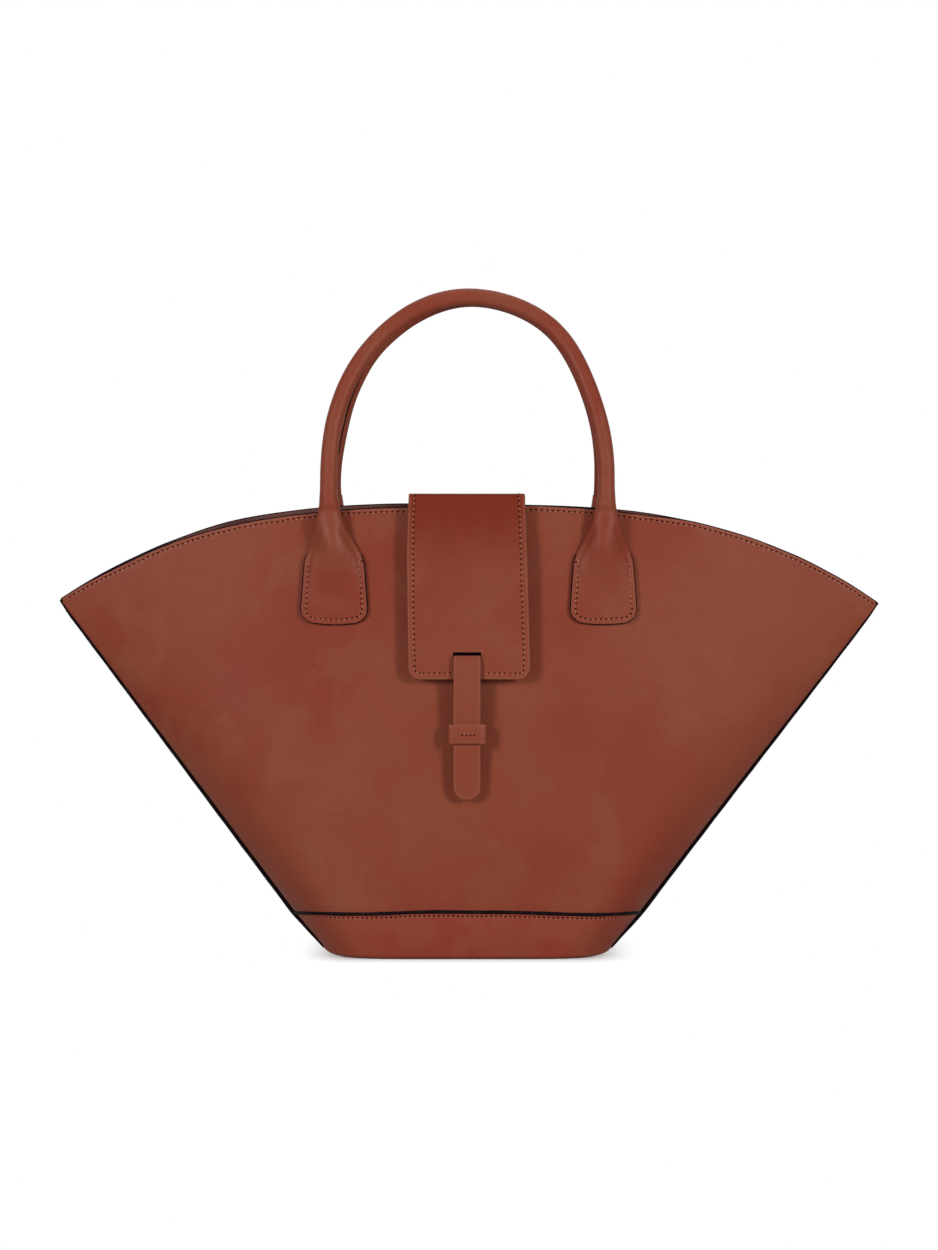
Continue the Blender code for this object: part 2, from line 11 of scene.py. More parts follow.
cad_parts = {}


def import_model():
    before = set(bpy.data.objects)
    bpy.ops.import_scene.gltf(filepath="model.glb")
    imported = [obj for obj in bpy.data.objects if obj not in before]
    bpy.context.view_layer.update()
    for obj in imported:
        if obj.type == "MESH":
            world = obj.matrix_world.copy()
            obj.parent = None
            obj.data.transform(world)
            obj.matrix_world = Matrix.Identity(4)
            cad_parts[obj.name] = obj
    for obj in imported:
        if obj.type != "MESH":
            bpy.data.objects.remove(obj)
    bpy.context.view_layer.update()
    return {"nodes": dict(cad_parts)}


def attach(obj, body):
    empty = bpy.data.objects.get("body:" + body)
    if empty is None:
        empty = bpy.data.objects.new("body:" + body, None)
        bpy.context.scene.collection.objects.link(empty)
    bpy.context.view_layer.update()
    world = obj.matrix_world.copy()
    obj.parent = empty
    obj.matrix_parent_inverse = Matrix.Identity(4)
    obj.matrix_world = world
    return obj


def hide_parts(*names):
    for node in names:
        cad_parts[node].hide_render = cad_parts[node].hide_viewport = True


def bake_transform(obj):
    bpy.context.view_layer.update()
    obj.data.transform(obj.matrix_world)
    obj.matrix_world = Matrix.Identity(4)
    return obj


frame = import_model()

# Sizes repeated from the construction, with the mouth's corners a little further out, as in the photograph
GAP, LEATHER, LINING = 0.0003, 0.0016, 0.0010
RIM_HEIGHT, CORNER_HEIGHT, RIM_POWER = 0.2454, 0.1944, 2.95
MOUTH_HALF_WIDTH, MOUTH_HALF_DEPTH = 0.2241, 0.0320
WAIST_HEIGHT, WAIST_SIDE_HEIGHT, WAIST_ROOM = 0.0258, 0.0204, 0.0008
WAIST_HALF_WIDTH, WAIST_HALF_DEPTH = 0.0951, 0.0480
FOOT_HEIGHT, FOOT_HALF_WIDTH, FOOT_HALF_DEPTH = 0.0030, 0.0798, 0.0465
SOLE_HALF_WIDTH, SOLE_HALF_DEPTH = 0.0765, 0.0435
PIPING_RADIUS, PIPING_PROUD, SIDE_PIPING_RADIUS = 0.0010, 0.0005, 0.0011
HANDLE_RADIUS, HANDLE_HALF_SPAN, HANDLE_RISE, HANDLE_LIMB = 0.0047, 0.0753, 0.1084, 0.0117
HANDLE_AXIS_DEPTH, HANDLE_AXIS_HEIGHT, HANDLE_LEAN = 0.03539, 0.2512, math.radians(15.733)
TAB_BOTTOM, TAB_TOP, TAB_CORNER, TAB_BELLY, TAB_THICKNESS = 0.1822, 0.2500, 0.0086, 0.0006, 0.0026
FLAP_BOTTOM, FLAP_ROUND, ANCHOR_END = 0.1528, 0.0066, 0.2000
CREST_HEIGHT, FRONT_CREST, BACK_CREST = 0.2530, 0.0390, 0.0339
BODY_LEAN = math.radians(4.167)
SLOT_TOP, SLOT_HEIGHT = 0.1674, 0.0040
STRAP_HALF_WIDTH, STRAP_THICKNESS, STRAP_TIP, STRAP_X = 0.0073, 0.0026, 0.0876, -0.0003
KEEPER_HEIGHT, SNAP_HEIGHT, SNAP_RADIUS = 0.1234, 0.2050, 0.0070
STITCH_PITCH, STITCH_INSET = 0.0030, 0.0029

# How the seam lines of a hand-made bag wander: u, and millimetres up
WAIST_WANDER = ((-1, 0), (-0.61, -0.6), (-0.18, 0.6), (0.15, 0.4), (0.73, -0.9), (1, 0))
FRONT_RIM_WANDER = (
    (-1, 0), (-0.84, -0.9), (-0.74, -0.2), (-0.59, 0), (-0.42, 0), (-0.21, 0.5), (0, 1.1), (0.165, 1.5), (0.25, 1.1),
    (0.43, 0.2), (0.54, 0.9), (0.66, 0.3), (0.79, -0.5), (0.90, -1.3), (1, -2.0),
)
BACK_RIM_WANDER = (
    (-1, -2.0), (-0.79, -1.2), (-0.66, -0.6), (-0.54, -0.5), (-0.43, -0.3), (-0.25, -0.5), (-0.165, -0.5), (0, -0.1),
    (0.21, 0.4), (0.42, 0.6), (0.59, 1.2), (0.74, 0.3), (0.83, -0.1), (1, 0),
)
SIDES = ((1, "front"), (-1, "back"))

rng = np.random.default_rng(20)


def mix(a, b, share):
    return a + (b - a) * share


def smoothstep(low, high, value):
    t = np.clip((value - low) / (high - low), 0.0, 1.0)
    return t * t * (3 - 2 * t)


def bell(off, width):
    return np.exp(-((off / width) ** 2))


def quarter(share):
    """A quarter circle's height: 0 at share 0, where it is upright, and 1 from share 1 on."""
    return np.sqrt(np.clip(1 - (1 - np.clip(share, 0, 1)) ** 2, 0, 1))


def drawn_in(gap, radius):
    """How far a rounded corner draws in: its radius on the border, and nothing from the radius on."""
    return radius * (1 - quarter(gap / radius))


def points(x, y, z):
    """Arrays joined into points, with the last axis for x, y and z."""
    return np.stack(np.broadcast_arrays(x, y, z), axis=-1).astype(float)


def unit(vectors):
    return vectors / np.maximum(np.linalg.norm(vectors, axis=-1, keepdims=True), 1e-12)


def facing(made, side):
    """Points or normals of the front, turned half round for the back when the side is -1."""
    return made * np.array([side, side, 1.0])


def run_of(path):
    """The distance along a path at each of its points."""
    return np.concatenate([[0.0], np.cumsum(np.linalg.norm(np.diff(path, axis=0), axis=1))])


def at_run(at, run, path):
    """The path at given distances along it."""
    return np.stack([np.interp(at, run, values) for values in path.T], axis=-1)


def both_ways(*shares):
    """Shares from a border at 0 to the middle at 1, turned into places from -1 to 1."""
    shares = np.concatenate(shares)[:-1]
    return np.concatenate([shares - 1, [0.0], (1 - shares)[::-1]])


# The body's surface, as the construction has it


def ring(u, half_width, half_depth, side_height, middle_height):
    fall = np.sqrt(np.clip(1 - np.abs(u) ** 7.0, 0.0, 1.0))
    return points(half_width * u, -mix(GAP / 2, half_depth, fall), mix(side_height, middle_height, fall))


def rim(u):
    corner = LEATHER + GAP / 2
    depth = mix(corner, MOUTH_HALF_DEPTH, 1 - np.abs(u) ** 2.5)
    return points(MOUTH_HALF_WIDTH * u, -depth, mix(RIM_HEIGHT, CORNER_HEIGHT, np.abs(u) ** RIM_POWER))


def inset(curve, u, distance, lift=0.0):
    """The curve moved level into the bag, then lifted. Distance and lift may be arrays."""
    run = curve(np.minimum(u + 1e-4, 1.0)) - curve(np.maximum(u - 1e-4, -1.0))
    inward = unit(points(-run[..., 1], run[..., 0], 0.0))
    moved = curve(u) + inward * np.asarray(distance)[..., None]
    moved[..., 2] += lift
    return moved


def waist(u, above=0.0):
    if above < 0:
        far_height, far_half_width = FOOT_HEIGHT, FOOT_HALF_WIDTH
    else:
        far_height, far_half_width = CORNER_HEIGHT, MOUTH_HALF_WIDTH
    half_width = mix(WAIST_HALF_WIDTH, far_half_width, above / (far_height - WAIST_SIDE_HEIGHT))
    return ring(u, half_width, WAIST_HALF_DEPTH, WAIST_SIDE_HEIGHT + above, WAIST_HEIGHT + above)


def low_edge(u):
    return waist(u, WAIST_ROOM)


def band_edge(u):
    return waist(u, -WAIST_ROOM)


def sole(turn):
    out, up = math.sin(turn * math.pi / 2), 1 - math.cos(turn * math.pi / 2)
    half_width = mix(SOLE_HALF_WIDTH, FOOT_HALF_WIDTH, out)
    half_depth = mix(SOLE_HALF_DEPTH, FOOT_HALF_DEPTH, out)
    height = mix(GAP, FOOT_HEIGHT, up)
    return lambda u: ring(u, half_width, half_depth, height, height)


def swell(u, share, side):
    """How the hand-cut leather stands out of its true surface, in metres. The side is 1 for the front."""
    x = u * mix(WAIST_HALF_WIDTH, MOUTH_HALF_WIDTH, share)
    soft = 0.55 * np.sin(17 * x + 1.3 * side + 2.1 * share) + 0.45 * np.sin(31 * x - 4.2 * share + 0.8 * side)
    soft = soft + 0.35 * np.sin(9.0 * share + 12 * x * side)
    hold = (1 - np.abs(u) ** 6) * np.sin(np.pi * np.clip(share, 0, 1)) ** 0.8
    return 0.00045 * soft * hold


def wander(u, knots):
    """A smooth line through pairs of u and height in millimetres."""
    at, heights = np.array(knots).T
    k = np.clip(np.searchsorted(at, u) - 1, 0, len(at) - 2)
    return 0.001 * mix(heights[k], heights[k + 1], smoothstep(at[k], at[k + 1], u))


def right_wing(made):
    """The right wing reaches a little further than the left."""
    made[..., 0] += 0.0017 * smoothstep(0.115, 0.225, made[..., 0])
    return made


def body_point(u, share, depth_in=0.0, side=1, top_lift=0.0):
    """A point of the panel: share 0 is at the waist piping and 1 at the rim. Side -1 is the back."""
    u, share, depth_in = np.broadcast_arrays(u, share, depth_in)
    inward = depth_in - swell(u, share, side)
    low = inset(low_edge, u, inward, wander(u * side, WAIST_WANDER))
    high = inset(rim, u, inward, wander(u, FRONT_RIM_WANDER if side > 0 else BACK_RIM_WANDER) + top_lift)
    return right_wing(facing(mix(low, high, share[..., None]), side))


def on_panel(x, z):
    """The point of the front panel's face that shows at (x, z) in the front view."""
    x, z = np.broadcast_arrays(x, z)
    share = (z - WAIST_HEIGHT) / (RIM_HEIGHT - WAIST_HEIGHT)
    for _ in range(14):
        u = np.clip(x / mix(low_edge(1.0)[0], MOUTH_HALF_WIDTH, share), -1, 1)
        low, high = low_edge(u)[..., 2], rim(u)[..., 2]
        share = (z - low) / (high - low)
    return points(x, body_point(u, share)[..., 1], z)


# Mesh helpers


def linked(name, data):
    obj = bpy.data.objects.new(name, data)
    bpy.context.scene.collection.objects.link(obj)
    return obj


def mesh_object(name, vertices, faces, slots, materials, merge=0.0, flat_angle=50):
    """A mesh piece with smooth shading. Slots gives each face its material's place."""
    data = bpy.data.meshes.new(name)
    data.from_pydata([tuple(v) for v in vertices], [], [tuple(int(i) for i in f) for f in faces])
    for material in materials:
        data.materials.append(material)
    if slots is not None:
        data.polygons.foreach_set("material_index", [int(s) for s in slots])
    mesh = bmesh.new()
    mesh.from_mesh(data)
    if merge:
        bmesh.ops.remove_doubles(mesh, verts=mesh.verts, dist=merge)
    bmesh.ops.delete(mesh, geom=[v for v in mesh.verts if not v.link_faces], context="VERTS")
    bmesh.ops.recalc_face_normals(mesh, faces=mesh.faces)
    mesh.to_mesh(data)
    mesh.free()
    data.shade_smooth()
    data.set_sharp_from_angle(angle=math.radians(flat_angle))
    return linked(name, data)


def put(obj, slot, bodies, *nodes):
    """The piece's material slot, which is not used, the solids it stands for, and its body, or two bodies with the bend
    between them.
    """
    if nodes:
        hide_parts(*nodes)
    if isinstance(bodies, str):
        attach(obj, bodies)
    else:
        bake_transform(obj)


def slab(
    name, face, back, materials, fields=None, keep=None, face_slot=0, back_slot=1, wall_slot=1, merge=1e-6, **more
):
    """A closed sheet from two like grids of points. Keep drops cells, whose borders get walls too.

    Fields gives values by name for the grid's points, or for those of the face and then of the back.
    """
    rows, columns = face.shape[:2]
    cells, after = (rows - 1, columns - 1), rows * columns
    keep = np.pad(np.ones(cells, bool) if keep is None else keep, 1)
    face_slot, back_slot = np.broadcast_to(face_slot, cells), np.broadcast_to(back_slot, cells)
    index = np.arange(after).reshape(rows, columns)
    faces, slots = [], []
    for r, c in zip(*np.nonzero(keep[1:-1, 1:-1])):
        corners = (index[r, c], index[r, c + 1], index[r + 1, c + 1], index[r + 1, c])
        faces += [corners, [i + after for i in reversed(corners)]]
        slots += [face_slot[r, c], back_slot[r, c]]
        for a, (dr, dc) in enumerate(((-1, 0), (0, 1), (1, 0), (0, -1))):
            if not keep[r + 1 + dr, c + 1 + dc]:
                i, j = corners[a], corners[(a + 1) % 4]
                faces.append((j, i, i + after, j + after))
                slots.append(wall_slot)
    vertices = np.concatenate([face.reshape(-1, 3), back.reshape(-1, 3)])
    obj = mesh_object(name, vertices, faces, slots, materials, merge, **more)
    if fields:
        tree = KDTree(len(vertices))
        for i, v in enumerate(vertices):
            tree.insert(Vector(v), i)
        tree.balance()
        near = [tree.find(v.co)[1] for v in obj.data.vertices]
        for key, values in fields.items():
            values = np.broadcast_to(values, (2, rows, columns)).astype(np.float32).ravel()
            obj.data.attributes.new(key, "FLOAT", "POINT").data.foreach_set("value", values[near])
    return obj


def ring_faces(first, sides):
    """The faces between two rings of vertices, one straight after the other."""
    turns = [(s, (s + 1) % sides) for s in range(sides)]
    return [(first + s, first + k, first + sides + k, first + sides + s) for s, k in turns]


def tube(name, path, radii, material, sides=16, up=(0.0, 1.0, 0.0)):
    """A closed tube round a path of points, with a radius for each."""
    count = len(path)
    tangent = unit(np.gradient(path, axis=0))
    normal = unit(np.cross(tangent, up))
    for i in range(1, count):
        normal[i] = unit(normal[i - 1] - tangent[i] * normal[i - 1].dot(tangent[i]))
    turn = np.linspace(0, 2 * np.pi, sides, endpoint=False)[:, None]
    spokes = normal[:, None] * np.cos(turn) + np.cross(tangent, normal)[:, None] * np.sin(turn)
    rings = path[:, None] + spokes * radii[:, None, None]
    faces = [face for i in range(count - 1) for face in ring_faces(i * sides, sides)]
    for start, tip in ((0, count * sides), ((count - 1) * sides, count * sides + 1)):
        faces += [(start + j, start + (j + 1) % sides, tip) for j in range(sides)]
    return mesh_object(name, [*rings.reshape(-1, 3), path[0], path[-1]], faces, None, (material,))


def stitches(name, path, outward, pitch=STITCH_PITCH, slant=22.0, margin=0.0, width=0.00058, rise=0.00023):
    """A row of saddle stitches, with dark discs of painted shade for their holes. Outward is the surface's normal, or
    one for each point.
    """
    run = run_of(path)
    length = run[-1] - 2 * margin
    count = max(1, round(length / pitch))
    step = length / count
    at = margin + (np.arange(count) + 0.5) * step
    along = unit(at_run(at + pitch / 4, run, path) - at_run(at - pitch / 4, run, path))
    normals = unit(at_run(at, run, np.broadcast_to(outward, path.shape)))

    # One stitch, in steps ahead, aside and up: a bar of seven rings with sunk ends, and behind it dark discs of painted
    # shade, standing for its needle holes
    t, turn = np.linspace(-1, 1, 7)[:, None], np.arange(6) * np.pi / 3
    fat = np.sqrt(1 - np.abs(t) ** 3) + 0.02
    bar = points(0.27 * step * t, width / 2 * fat * np.cos(turn), rise * fat * np.sin(turn) - 0.00022 * t**4)
    shape, turn = [bar.reshape(-1, 3)], np.arange(8) * np.pi / 4
    for size, height in ((0.00050, 0.00003), (0.00042, 0.00011)):
        shape.append(points(step / 2 + 1.15 * size * np.cos(turn), size * np.sin(turn), height))
    shape = np.concatenate(shape)
    one = [face for r in range(6) for face in ring_faces(6 * r, 6)] + [range(6), range(36, 42)]
    one += ring_faces(42, 8) + [range(50, 58), range(49, 41, -1)]

    vertices, faces = [], []
    for place, direction, normal in zip(at_run(at, run, path), along, normals):
        across = unit(np.cross(normal, direction))
        angle = math.radians(slant + 5.0 * rng.standard_normal())
        heading = unit(np.cross(across, normal)) * math.cos(angle) + across * math.sin(angle)
        middle = place + across * 0.00006 * rng.standard_normal() + normal * 0.00004
        faces += [[i + len(vertices) for i in face] for face in one]
        vertices += list(middle + shape @ np.array([heading, np.cross(normal, heading), normal]))
    return mesh_object(name, vertices, faces, ([0] * 38 + [1] * 10) * count, (THREAD, HOLE_SHADE))


# Materials


class Nodes:
    """A node tree of a material, or of another owner, with short calls for its nodes."""

    def __init__(self, name, owners=bpy.data.materials, out="ShaderNodeOutputMaterial"):
        self.owner = owners.new(name)
        self.owner.use_nodes = True
        self.tree = self.owner.node_tree
        self.tree.nodes.clear()
        self.out = self.tree.nodes.new(out)
        self.coordinates = self.tree.nodes.new("ShaderNodeTexCoord")
        self.place = self.coordinates.outputs["Object"]

    def node(self, kind, inputs=(), **settings):
        made = self.tree.nodes.new(kind)
        for key, value in settings.items():
            setattr(made, key, value)
        for key, value in dict(inputs).items():
            if isinstance(value, bpy.types.NodeSocket):
                self.tree.links.new(value, made.inputs[key])
            else:
                made.inputs[key].default_value = value
        return made

    def noise(self, scale, detail=3.0, rough=0.5, where=None, distortion=0.0):
        inputs = {"Vector": where or self.place, "Scale": scale, "Detail": detail, "Roughness": rough}
        return self.node("ShaderNodeTexNoise", {**inputs, "Distortion": distortion}).outputs["Fac"]

    def cells(self, scale, feature="F1"):
        inputs = {"Vector": self.place, "Scale": scale}
        return self.node("ShaderNodeTexVoronoi", inputs, feature=feature).outputs["Distance"]

    def wave(self, scale, distortion, direction="DIAGONAL", where=None):
        inputs = {"Vector": where or self.place, "Scale": scale, "Distortion": distortion}
        return self.node("ShaderNodeTexWave", inputs, bands_direction=direction).outputs["Fac"]

    def maths(self, operation, a, b):
        return self.node("ShaderNodeMath", {0: a, 1: b}, operation=operation).outputs[0]

    def times(self, a, b):
        return self.maths("MULTIPLY", a, b)

    def plus(self, a, b):
        return self.maths("ADD", a, b)

    def most(self, *values):
        first, *others = values
        for other in others:
            first = self.maths("MAXIMUM", first, other)
        return first

    def vector(self, operation, *values):
        return self.node("ShaderNodeVectorMath", dict(enumerate(values)), operation=operation).outputs

    def remap(self, value, low, high, to_low=0.0, to_high=1.0, kind="SMOOTHSTEP"):
        inputs = {"Value": value, "From Min": low, "From Max": high, "To Min": to_low, "To Max": to_high}
        return self.node("ShaderNodeMapRange", inputs, interpolation_type=kind).outputs["Result"]

    def switch(self, ray, on):
        """1, or the value on for rays of this kind."""
        return self.remap(ray, 0.0, 1.0, 1.0, on, "LINEAR")

    def blend(self, share, a, b):
        """Colour a, turned into colour b by a share."""
        a, b = ((*colour, 1.0) if isinstance(colour, tuple) else colour for colour in (a, b))
        return self.node("ShaderNodeMix", {0: share, 6: a, 7: b}, data_type="RGBA").outputs[2]

    def field(self, name):
        return self.node("ShaderNodeAttribute", attribute_name=name).outputs["Fac"]

    def scaled(self, x, y, z):
        return self.node("ShaderNodeMapping", {"Vector": self.place, "Scale": (x, y, z)}).outputs["Vector"]

    def bump(self, height, strength, distance, under=None):
        inputs = {"Height": height, "Strength": strength, "Distance": distance}
        if under is not None:
            inputs["Normal"] = under
        return self.node("ShaderNodeBump", inputs).outputs["Normal"]

    def surface(self, shader):
        self.tree.links.new(shader.outputs[0], self.out.inputs["Surface"])
        return self.owner

    def principled(self, colour, rough, gloss, normal=None, metal=0.0):
        inputs = {"Base Color": colour, "Roughness": rough, "Specular IOR Level": gloss, "Metallic": metal}
        if normal is not None:
            inputs["Normal"] = normal
        return self.surface(self.node("ShaderNodeBsdfPrincipled", inputs))


def shade(colour, by):
    return tuple(c * by for c in colour)


def leather(name, colour, deep, light, gloss=0.15, edge_wear_and_highlight=None, crest_shade_tone=None):
    """Smooth calf leather: soft mottling, fine pores, edges lighter partly from wear and partly from painted highlight,
    pressed lines darkened partly as painted shade, and, where a tone is given, painted shade over the flap's top.
    """
    n = Nodes(name)
    broad = n.remap(n.noise(9.0, 3.0, 0.55), 0.42, 0.60)
    drift = n.remap(n.noise(24.0, 4.0, 0.6, distortion=0.6), 0.45, 0.62)
    fine = n.noise(420.0, 4.0, 0.6)
    base = n.blend(n.times(drift, 0.60), n.blend(broad, colour, deep), light)
    base = n.blend(n.times(n.remap(fine, 0.3, 0.75), 0.10), base, shade(deep, 0.72))
    rough = n.remap(n.noise(38.0, 4.0, 0.6), 0.3, 0.7, 0.40, 0.51)
    rough = n.plus(rough, n.times(n.remap(fine, 0.3, 0.7), 0.05))
    # Painted shade: darker, and also rougher, towards the flap's fold over the mouth and beyond it.
    if crest_shade_tone is not None:
        base = n.blend(n.times(n.field("crest"), 0.85), base, crest_shade_tone)
        rough = n.plus(rough, n.times(n.field("crest"), 0.20))
    # Lighter edges: partly wear, partly painted highlight where rounded edges catch light.
    if edge_wear_and_highlight is not None:
        base = n.blend(n.times(n.field("edge"), n.remap(n.noise(90.0), 0.25, 0.8, 0.55, 1.0)), base, edge_wear_and_highlight)
    # Darker pressed lines: the sewing's lines, partly painted shade, and painted shade in the creases beside the piping
    # and at the handles' joins.
    pressed_and_shaded = n.field("groove_and_shade")
    base = n.blend(n.times(pressed_and_shaded, 0.30), base, shade(deep, 0.55))
    pores = n.remap(n.cells(1500.0), 0.05, 0.55)
    creases = n.remap(n.cells(620.0, "DISTANCE_TO_EDGE"), 0.0, 0.12)
    grain = n.plus(n.plus(n.times(pores, 0.55), n.times(creases, 0.45)), n.times(fine, 0.8))
    normal = n.bump(n.noise(55.0), 0.10, 0.0012, n.bump(grain, 0.16, 0.00020))
    return n.principled(base, rough, gloss, n.bump(pressed_and_shaded, 0.55, -0.00028, normal))


def edge_paint(name, gloss):
    """Black edge paint over leather: uneven, a little greyer where it is rubbed."""
    n = Nodes(name)
    base = n.blend(n.remap(n.noise(240.0, 4.0, 0.6), 0.45, 0.75), (0.009, 0.005, 0.006), (0.021, 0.013, 0.015))
    rough = n.remap(n.noise(120.0), 0.3, 0.7, 0.36, 0.52)
    return n.principled(base, rough, gloss, n.bump(n.noise(700.0), 0.22, 0.00015))


def raw_edge(name, colour=(0.270, 0.098, 0.066)):
    """The cut edge of leather, dyed and rubbed: fibres in lines and a few darker flecks."""
    n = Nodes(name)
    fibres = n.remap(n.noise(900.0, 4.0, 0.65), 0.3, 0.7)
    flecks = n.remap(n.noise(260.0), 0.42, 0.72)
    base = n.blend(n.times(flecks, 0.6), colour, (0.120, 0.036, 0.024))
    base = n.blend(n.times(fibres, 0.25), base, shade(colour, 1.3))
    return n.principled(base, n.remap(flecks, 0.0, 1.0, 0.58, 0.70), 0.2, n.bump(fibres, 0.35, 0.00018))


def thread(name):
    """Waxed thread: two strands twisted, seen as slanting light and dark."""
    n = Nodes(name)
    strands = n.wave(900.0, 1.5)
    base = n.blend(strands, (0.210, 0.058, 0.032), (0.400, 0.148, 0.088))
    base = n.blend(n.times(n.noise(300.0, 2.0), 0.35), base, (0.56, 0.30, 0.21))
    return n.principled(base, 0.6, 0.25, n.bump(strands, 0.3, 0.0001))


# Painted shade: the discs at the needle holes are dark for the shade inside them.
def hole_shade(name):
    n = Nodes(name)
    base = n.blend(n.noise(600.0, 2.0), (0.022, 0.002, 0.001), (0.075, 0.008, 0.005))
    return n.principled(base, 0.9, 0.0)


def twill(name, colour=(0.185, 0.083, 0.070)):
    """Lining cloth: a fine twill with slanting ribs, slubs and soft folds of shade."""
    n = Nodes(name)
    weft = n.wave(900.0, 0.8, "Z", n.scaled(1, -1, 1))
    weave = n.times(n.wave(480.0, 0.6), n.plus(weft, 0.4))
    slub = n.remap(n.noise(160.0, 4.0, 0.7), 0.35, 0.7)
    base = n.blend(weave, (0.090, 0.036, 0.032), colour)
    base = n.blend(n.times(slub, 0.35), base, shade(colour, 1.35))
    normal = n.bump(n.noise(30.0), 0.15, 0.002, n.bump(weave, 0.5, 0.0002))
    return n.principled(base, n.remap(slub, 0.0, 1.0, 0.78, 0.90), 0.15, normal)


def fibreboard(name):
    n = Nodes(name)
    specks = n.remap(n.noise(700.0, 5.0, 0.7), 0.35, 0.7)
    base = n.blend(specks, (0.120, 0.078, 0.050), (0.240, 0.165, 0.110))
    return n.principled(base, 0.9, 0.5, n.bump(specks, 0.4, 0.0003))


def plated(name):
    n = Nodes(name)
    turned = n.remap(n.noise(500.0, where=n.scaled(1, 1, 0.15)), 0.3, 0.7)
    base = n.blend(turned, (0.46, 0.45, 0.44), (0.60, 0.59, 0.58))
    return n.principled(base, n.remap(turned, 0.0, 1.0, 0.24, 0.36), 0.5, n.bump(turned, 0.08, 0.0001), metal=1.0)


# Tone of lighter edges: partly wear, partly painted highlight where rounded edges catch light.
EDGE_WEAR_AND_HIGHLIGHT_TONE = (0.268, 0.080, 0.047)
BODY_LEATHER = leather(
    "body_leather", (0.235, 0.051, 0.026), (0.223, 0.039, 0.020), (0.237, 0.062, 0.032), edge_wear_and_highlight=EDGE_WEAR_AND_HIGHLIGHT_TONE
)
# Painted light: the band's leather is a lighter copy of the body's, for the less light that reaches the band.
BAND_LEATHER_PAINTED_LIGHTER = leather("band_leather_painted_lighter", (0.268, 0.055, 0.029), (0.253, 0.042, 0.023), (0.270, 0.066, 0.036))
# Painted light and shade: a copy of the body leather with its tones raised a little, and a dark tone painted as shade
# over the flap's top.
FLAP_LEATHER_PAINTED_LIGHT_AND_SHADE = leather(
    "flap_leather", (0.234, 0.052, 0.028), (0.222, 0.043, 0.023), (0.238, 0.062, 0.034), 0.10, EDGE_WEAR_AND_HIGHLIGHT_TONE,
    crest_shade_tone=(0.167, 0.019, 0.006),
)
BLACK_EDGE = edge_paint("black_edge", 0.0)
BLACK_PIPING = edge_paint("black_piping", 0.02)
RAW_EDGE = raw_edge("raw_edge")
THREAD = thread("thread")
HOLE_SHADE = hole_shade("needle_hole_shade")
TWILL = twill("lining_twill")
BOARD = fibreboard("fibreboard")
PLATED = plated("plated_metal")


# The body


def columns(count, reach=1.0):
    """Shares of the half width, closer together towards the side seams."""
    return reach * np.sin(np.pi * (np.arange(count + 1) / count - 0.5))


def sewn_normals(path, ahead, up, side):
    """Normals along a path, out of the front or, for side -1, out of the back."""
    normal = unit(np.cross(ahead - path, up))
    return normal * np.sign(1e-9 - side * normal[:, 1:2])


def make_panel(side, name):
    u = columns(140)
    roll = LEATHER / 2
    shares = np.concatenate([np.linspace(0, 0.93, 40), np.linspace(0.93, 1, 24)[1:]])
    turn = np.concatenate([0 * shares, np.linspace(0, math.pi / 2, 8)[1:]])[:, None]
    share = np.concatenate([shares, np.ones(7)])[:, None]
    lift = roll * np.sin(turn) - roll
    face = body_point(u, share, roll * (1 - np.cos(turn)), side, lift)
    back = body_point(u, share, roll * (1 + np.cos(turn)), side, lift)
    painted = np.zeros((len(face) - 1, len(u) - 1), int)
    painted[len(shares) :] = 1
    beyond = np.abs(u[1:] + u[:-1]) / 2
    painted[len(shares) - 1 :, beyond > 0.72] = 1
    painted[len(shares) - 3 :, beyond > 0.9965] = 1
    height = RIM_HEIGHT - WAIST_HEIGHT
    below = (1 - share) * height - lift
    # Darker at the rim's sewing line and, as painted shade, just above the waist piping; a lighter band under the rim's
    # roll, partly wear, partly painted highlight.
    groove_and_shade = bell(below - STITCH_INSET, 0.00055) + 0.5 * bell(height - below, 0.0016)
    fields = {"groove_and_shade": np.stack([groove_and_shade, 0 * groove_and_shade]), "edge": 0.8 * bell(below - 0.0010, 0.0011)}
    materials = (BODY_LEATHER, BLACK_EDGE)
    obj = slab(f"{name}_panel_leather", face, back, materials, fields, face_slot=painted, back_slot=painted)
    put(obj, "body_leather", "bag_body", f"{name}_panel")

    u, share = columns(700, 0.993), 1 - STITCH_INSET / height
    path = body_point(u, share, 0.0, side)
    ahead = body_point(np.clip(u + 1e-3, -1, 1), share, 0.0, side)
    normal = sewn_normals(path, ahead, body_point(u, share + 0.004, 0.0, side) - path, side)
    put(stitches(f"{name}_rim_stitches", path + normal * 0.00002, normal), "body_leather", "bag_body")


def band_point(u, share, depth_in, side):
    """A point of the base band: share -1 is flat under the bag, 0 the foot and 1 under the waist piping."""
    if share <= 0:
        angle = (1 + share) * math.pi / 2
        made = inset(sole(1 + share), u, depth_in * math.sin(angle), depth_in * math.cos(angle))
    else:
        bulge = 0.0006 * np.sin(math.pi * share) * (0.6 + 0.4 * np.sin(38 * u * FOOT_HALF_WIDTH * side + 1.0))
        inward = depth_in - bulge * (1 - np.abs(u) ** 8)
        high = inset(band_edge, u, inward, wander(u * side, WAIST_WANDER))
        made = mix(inset(sole(1.0), u, inward), high, share)
    return facing(made, side)


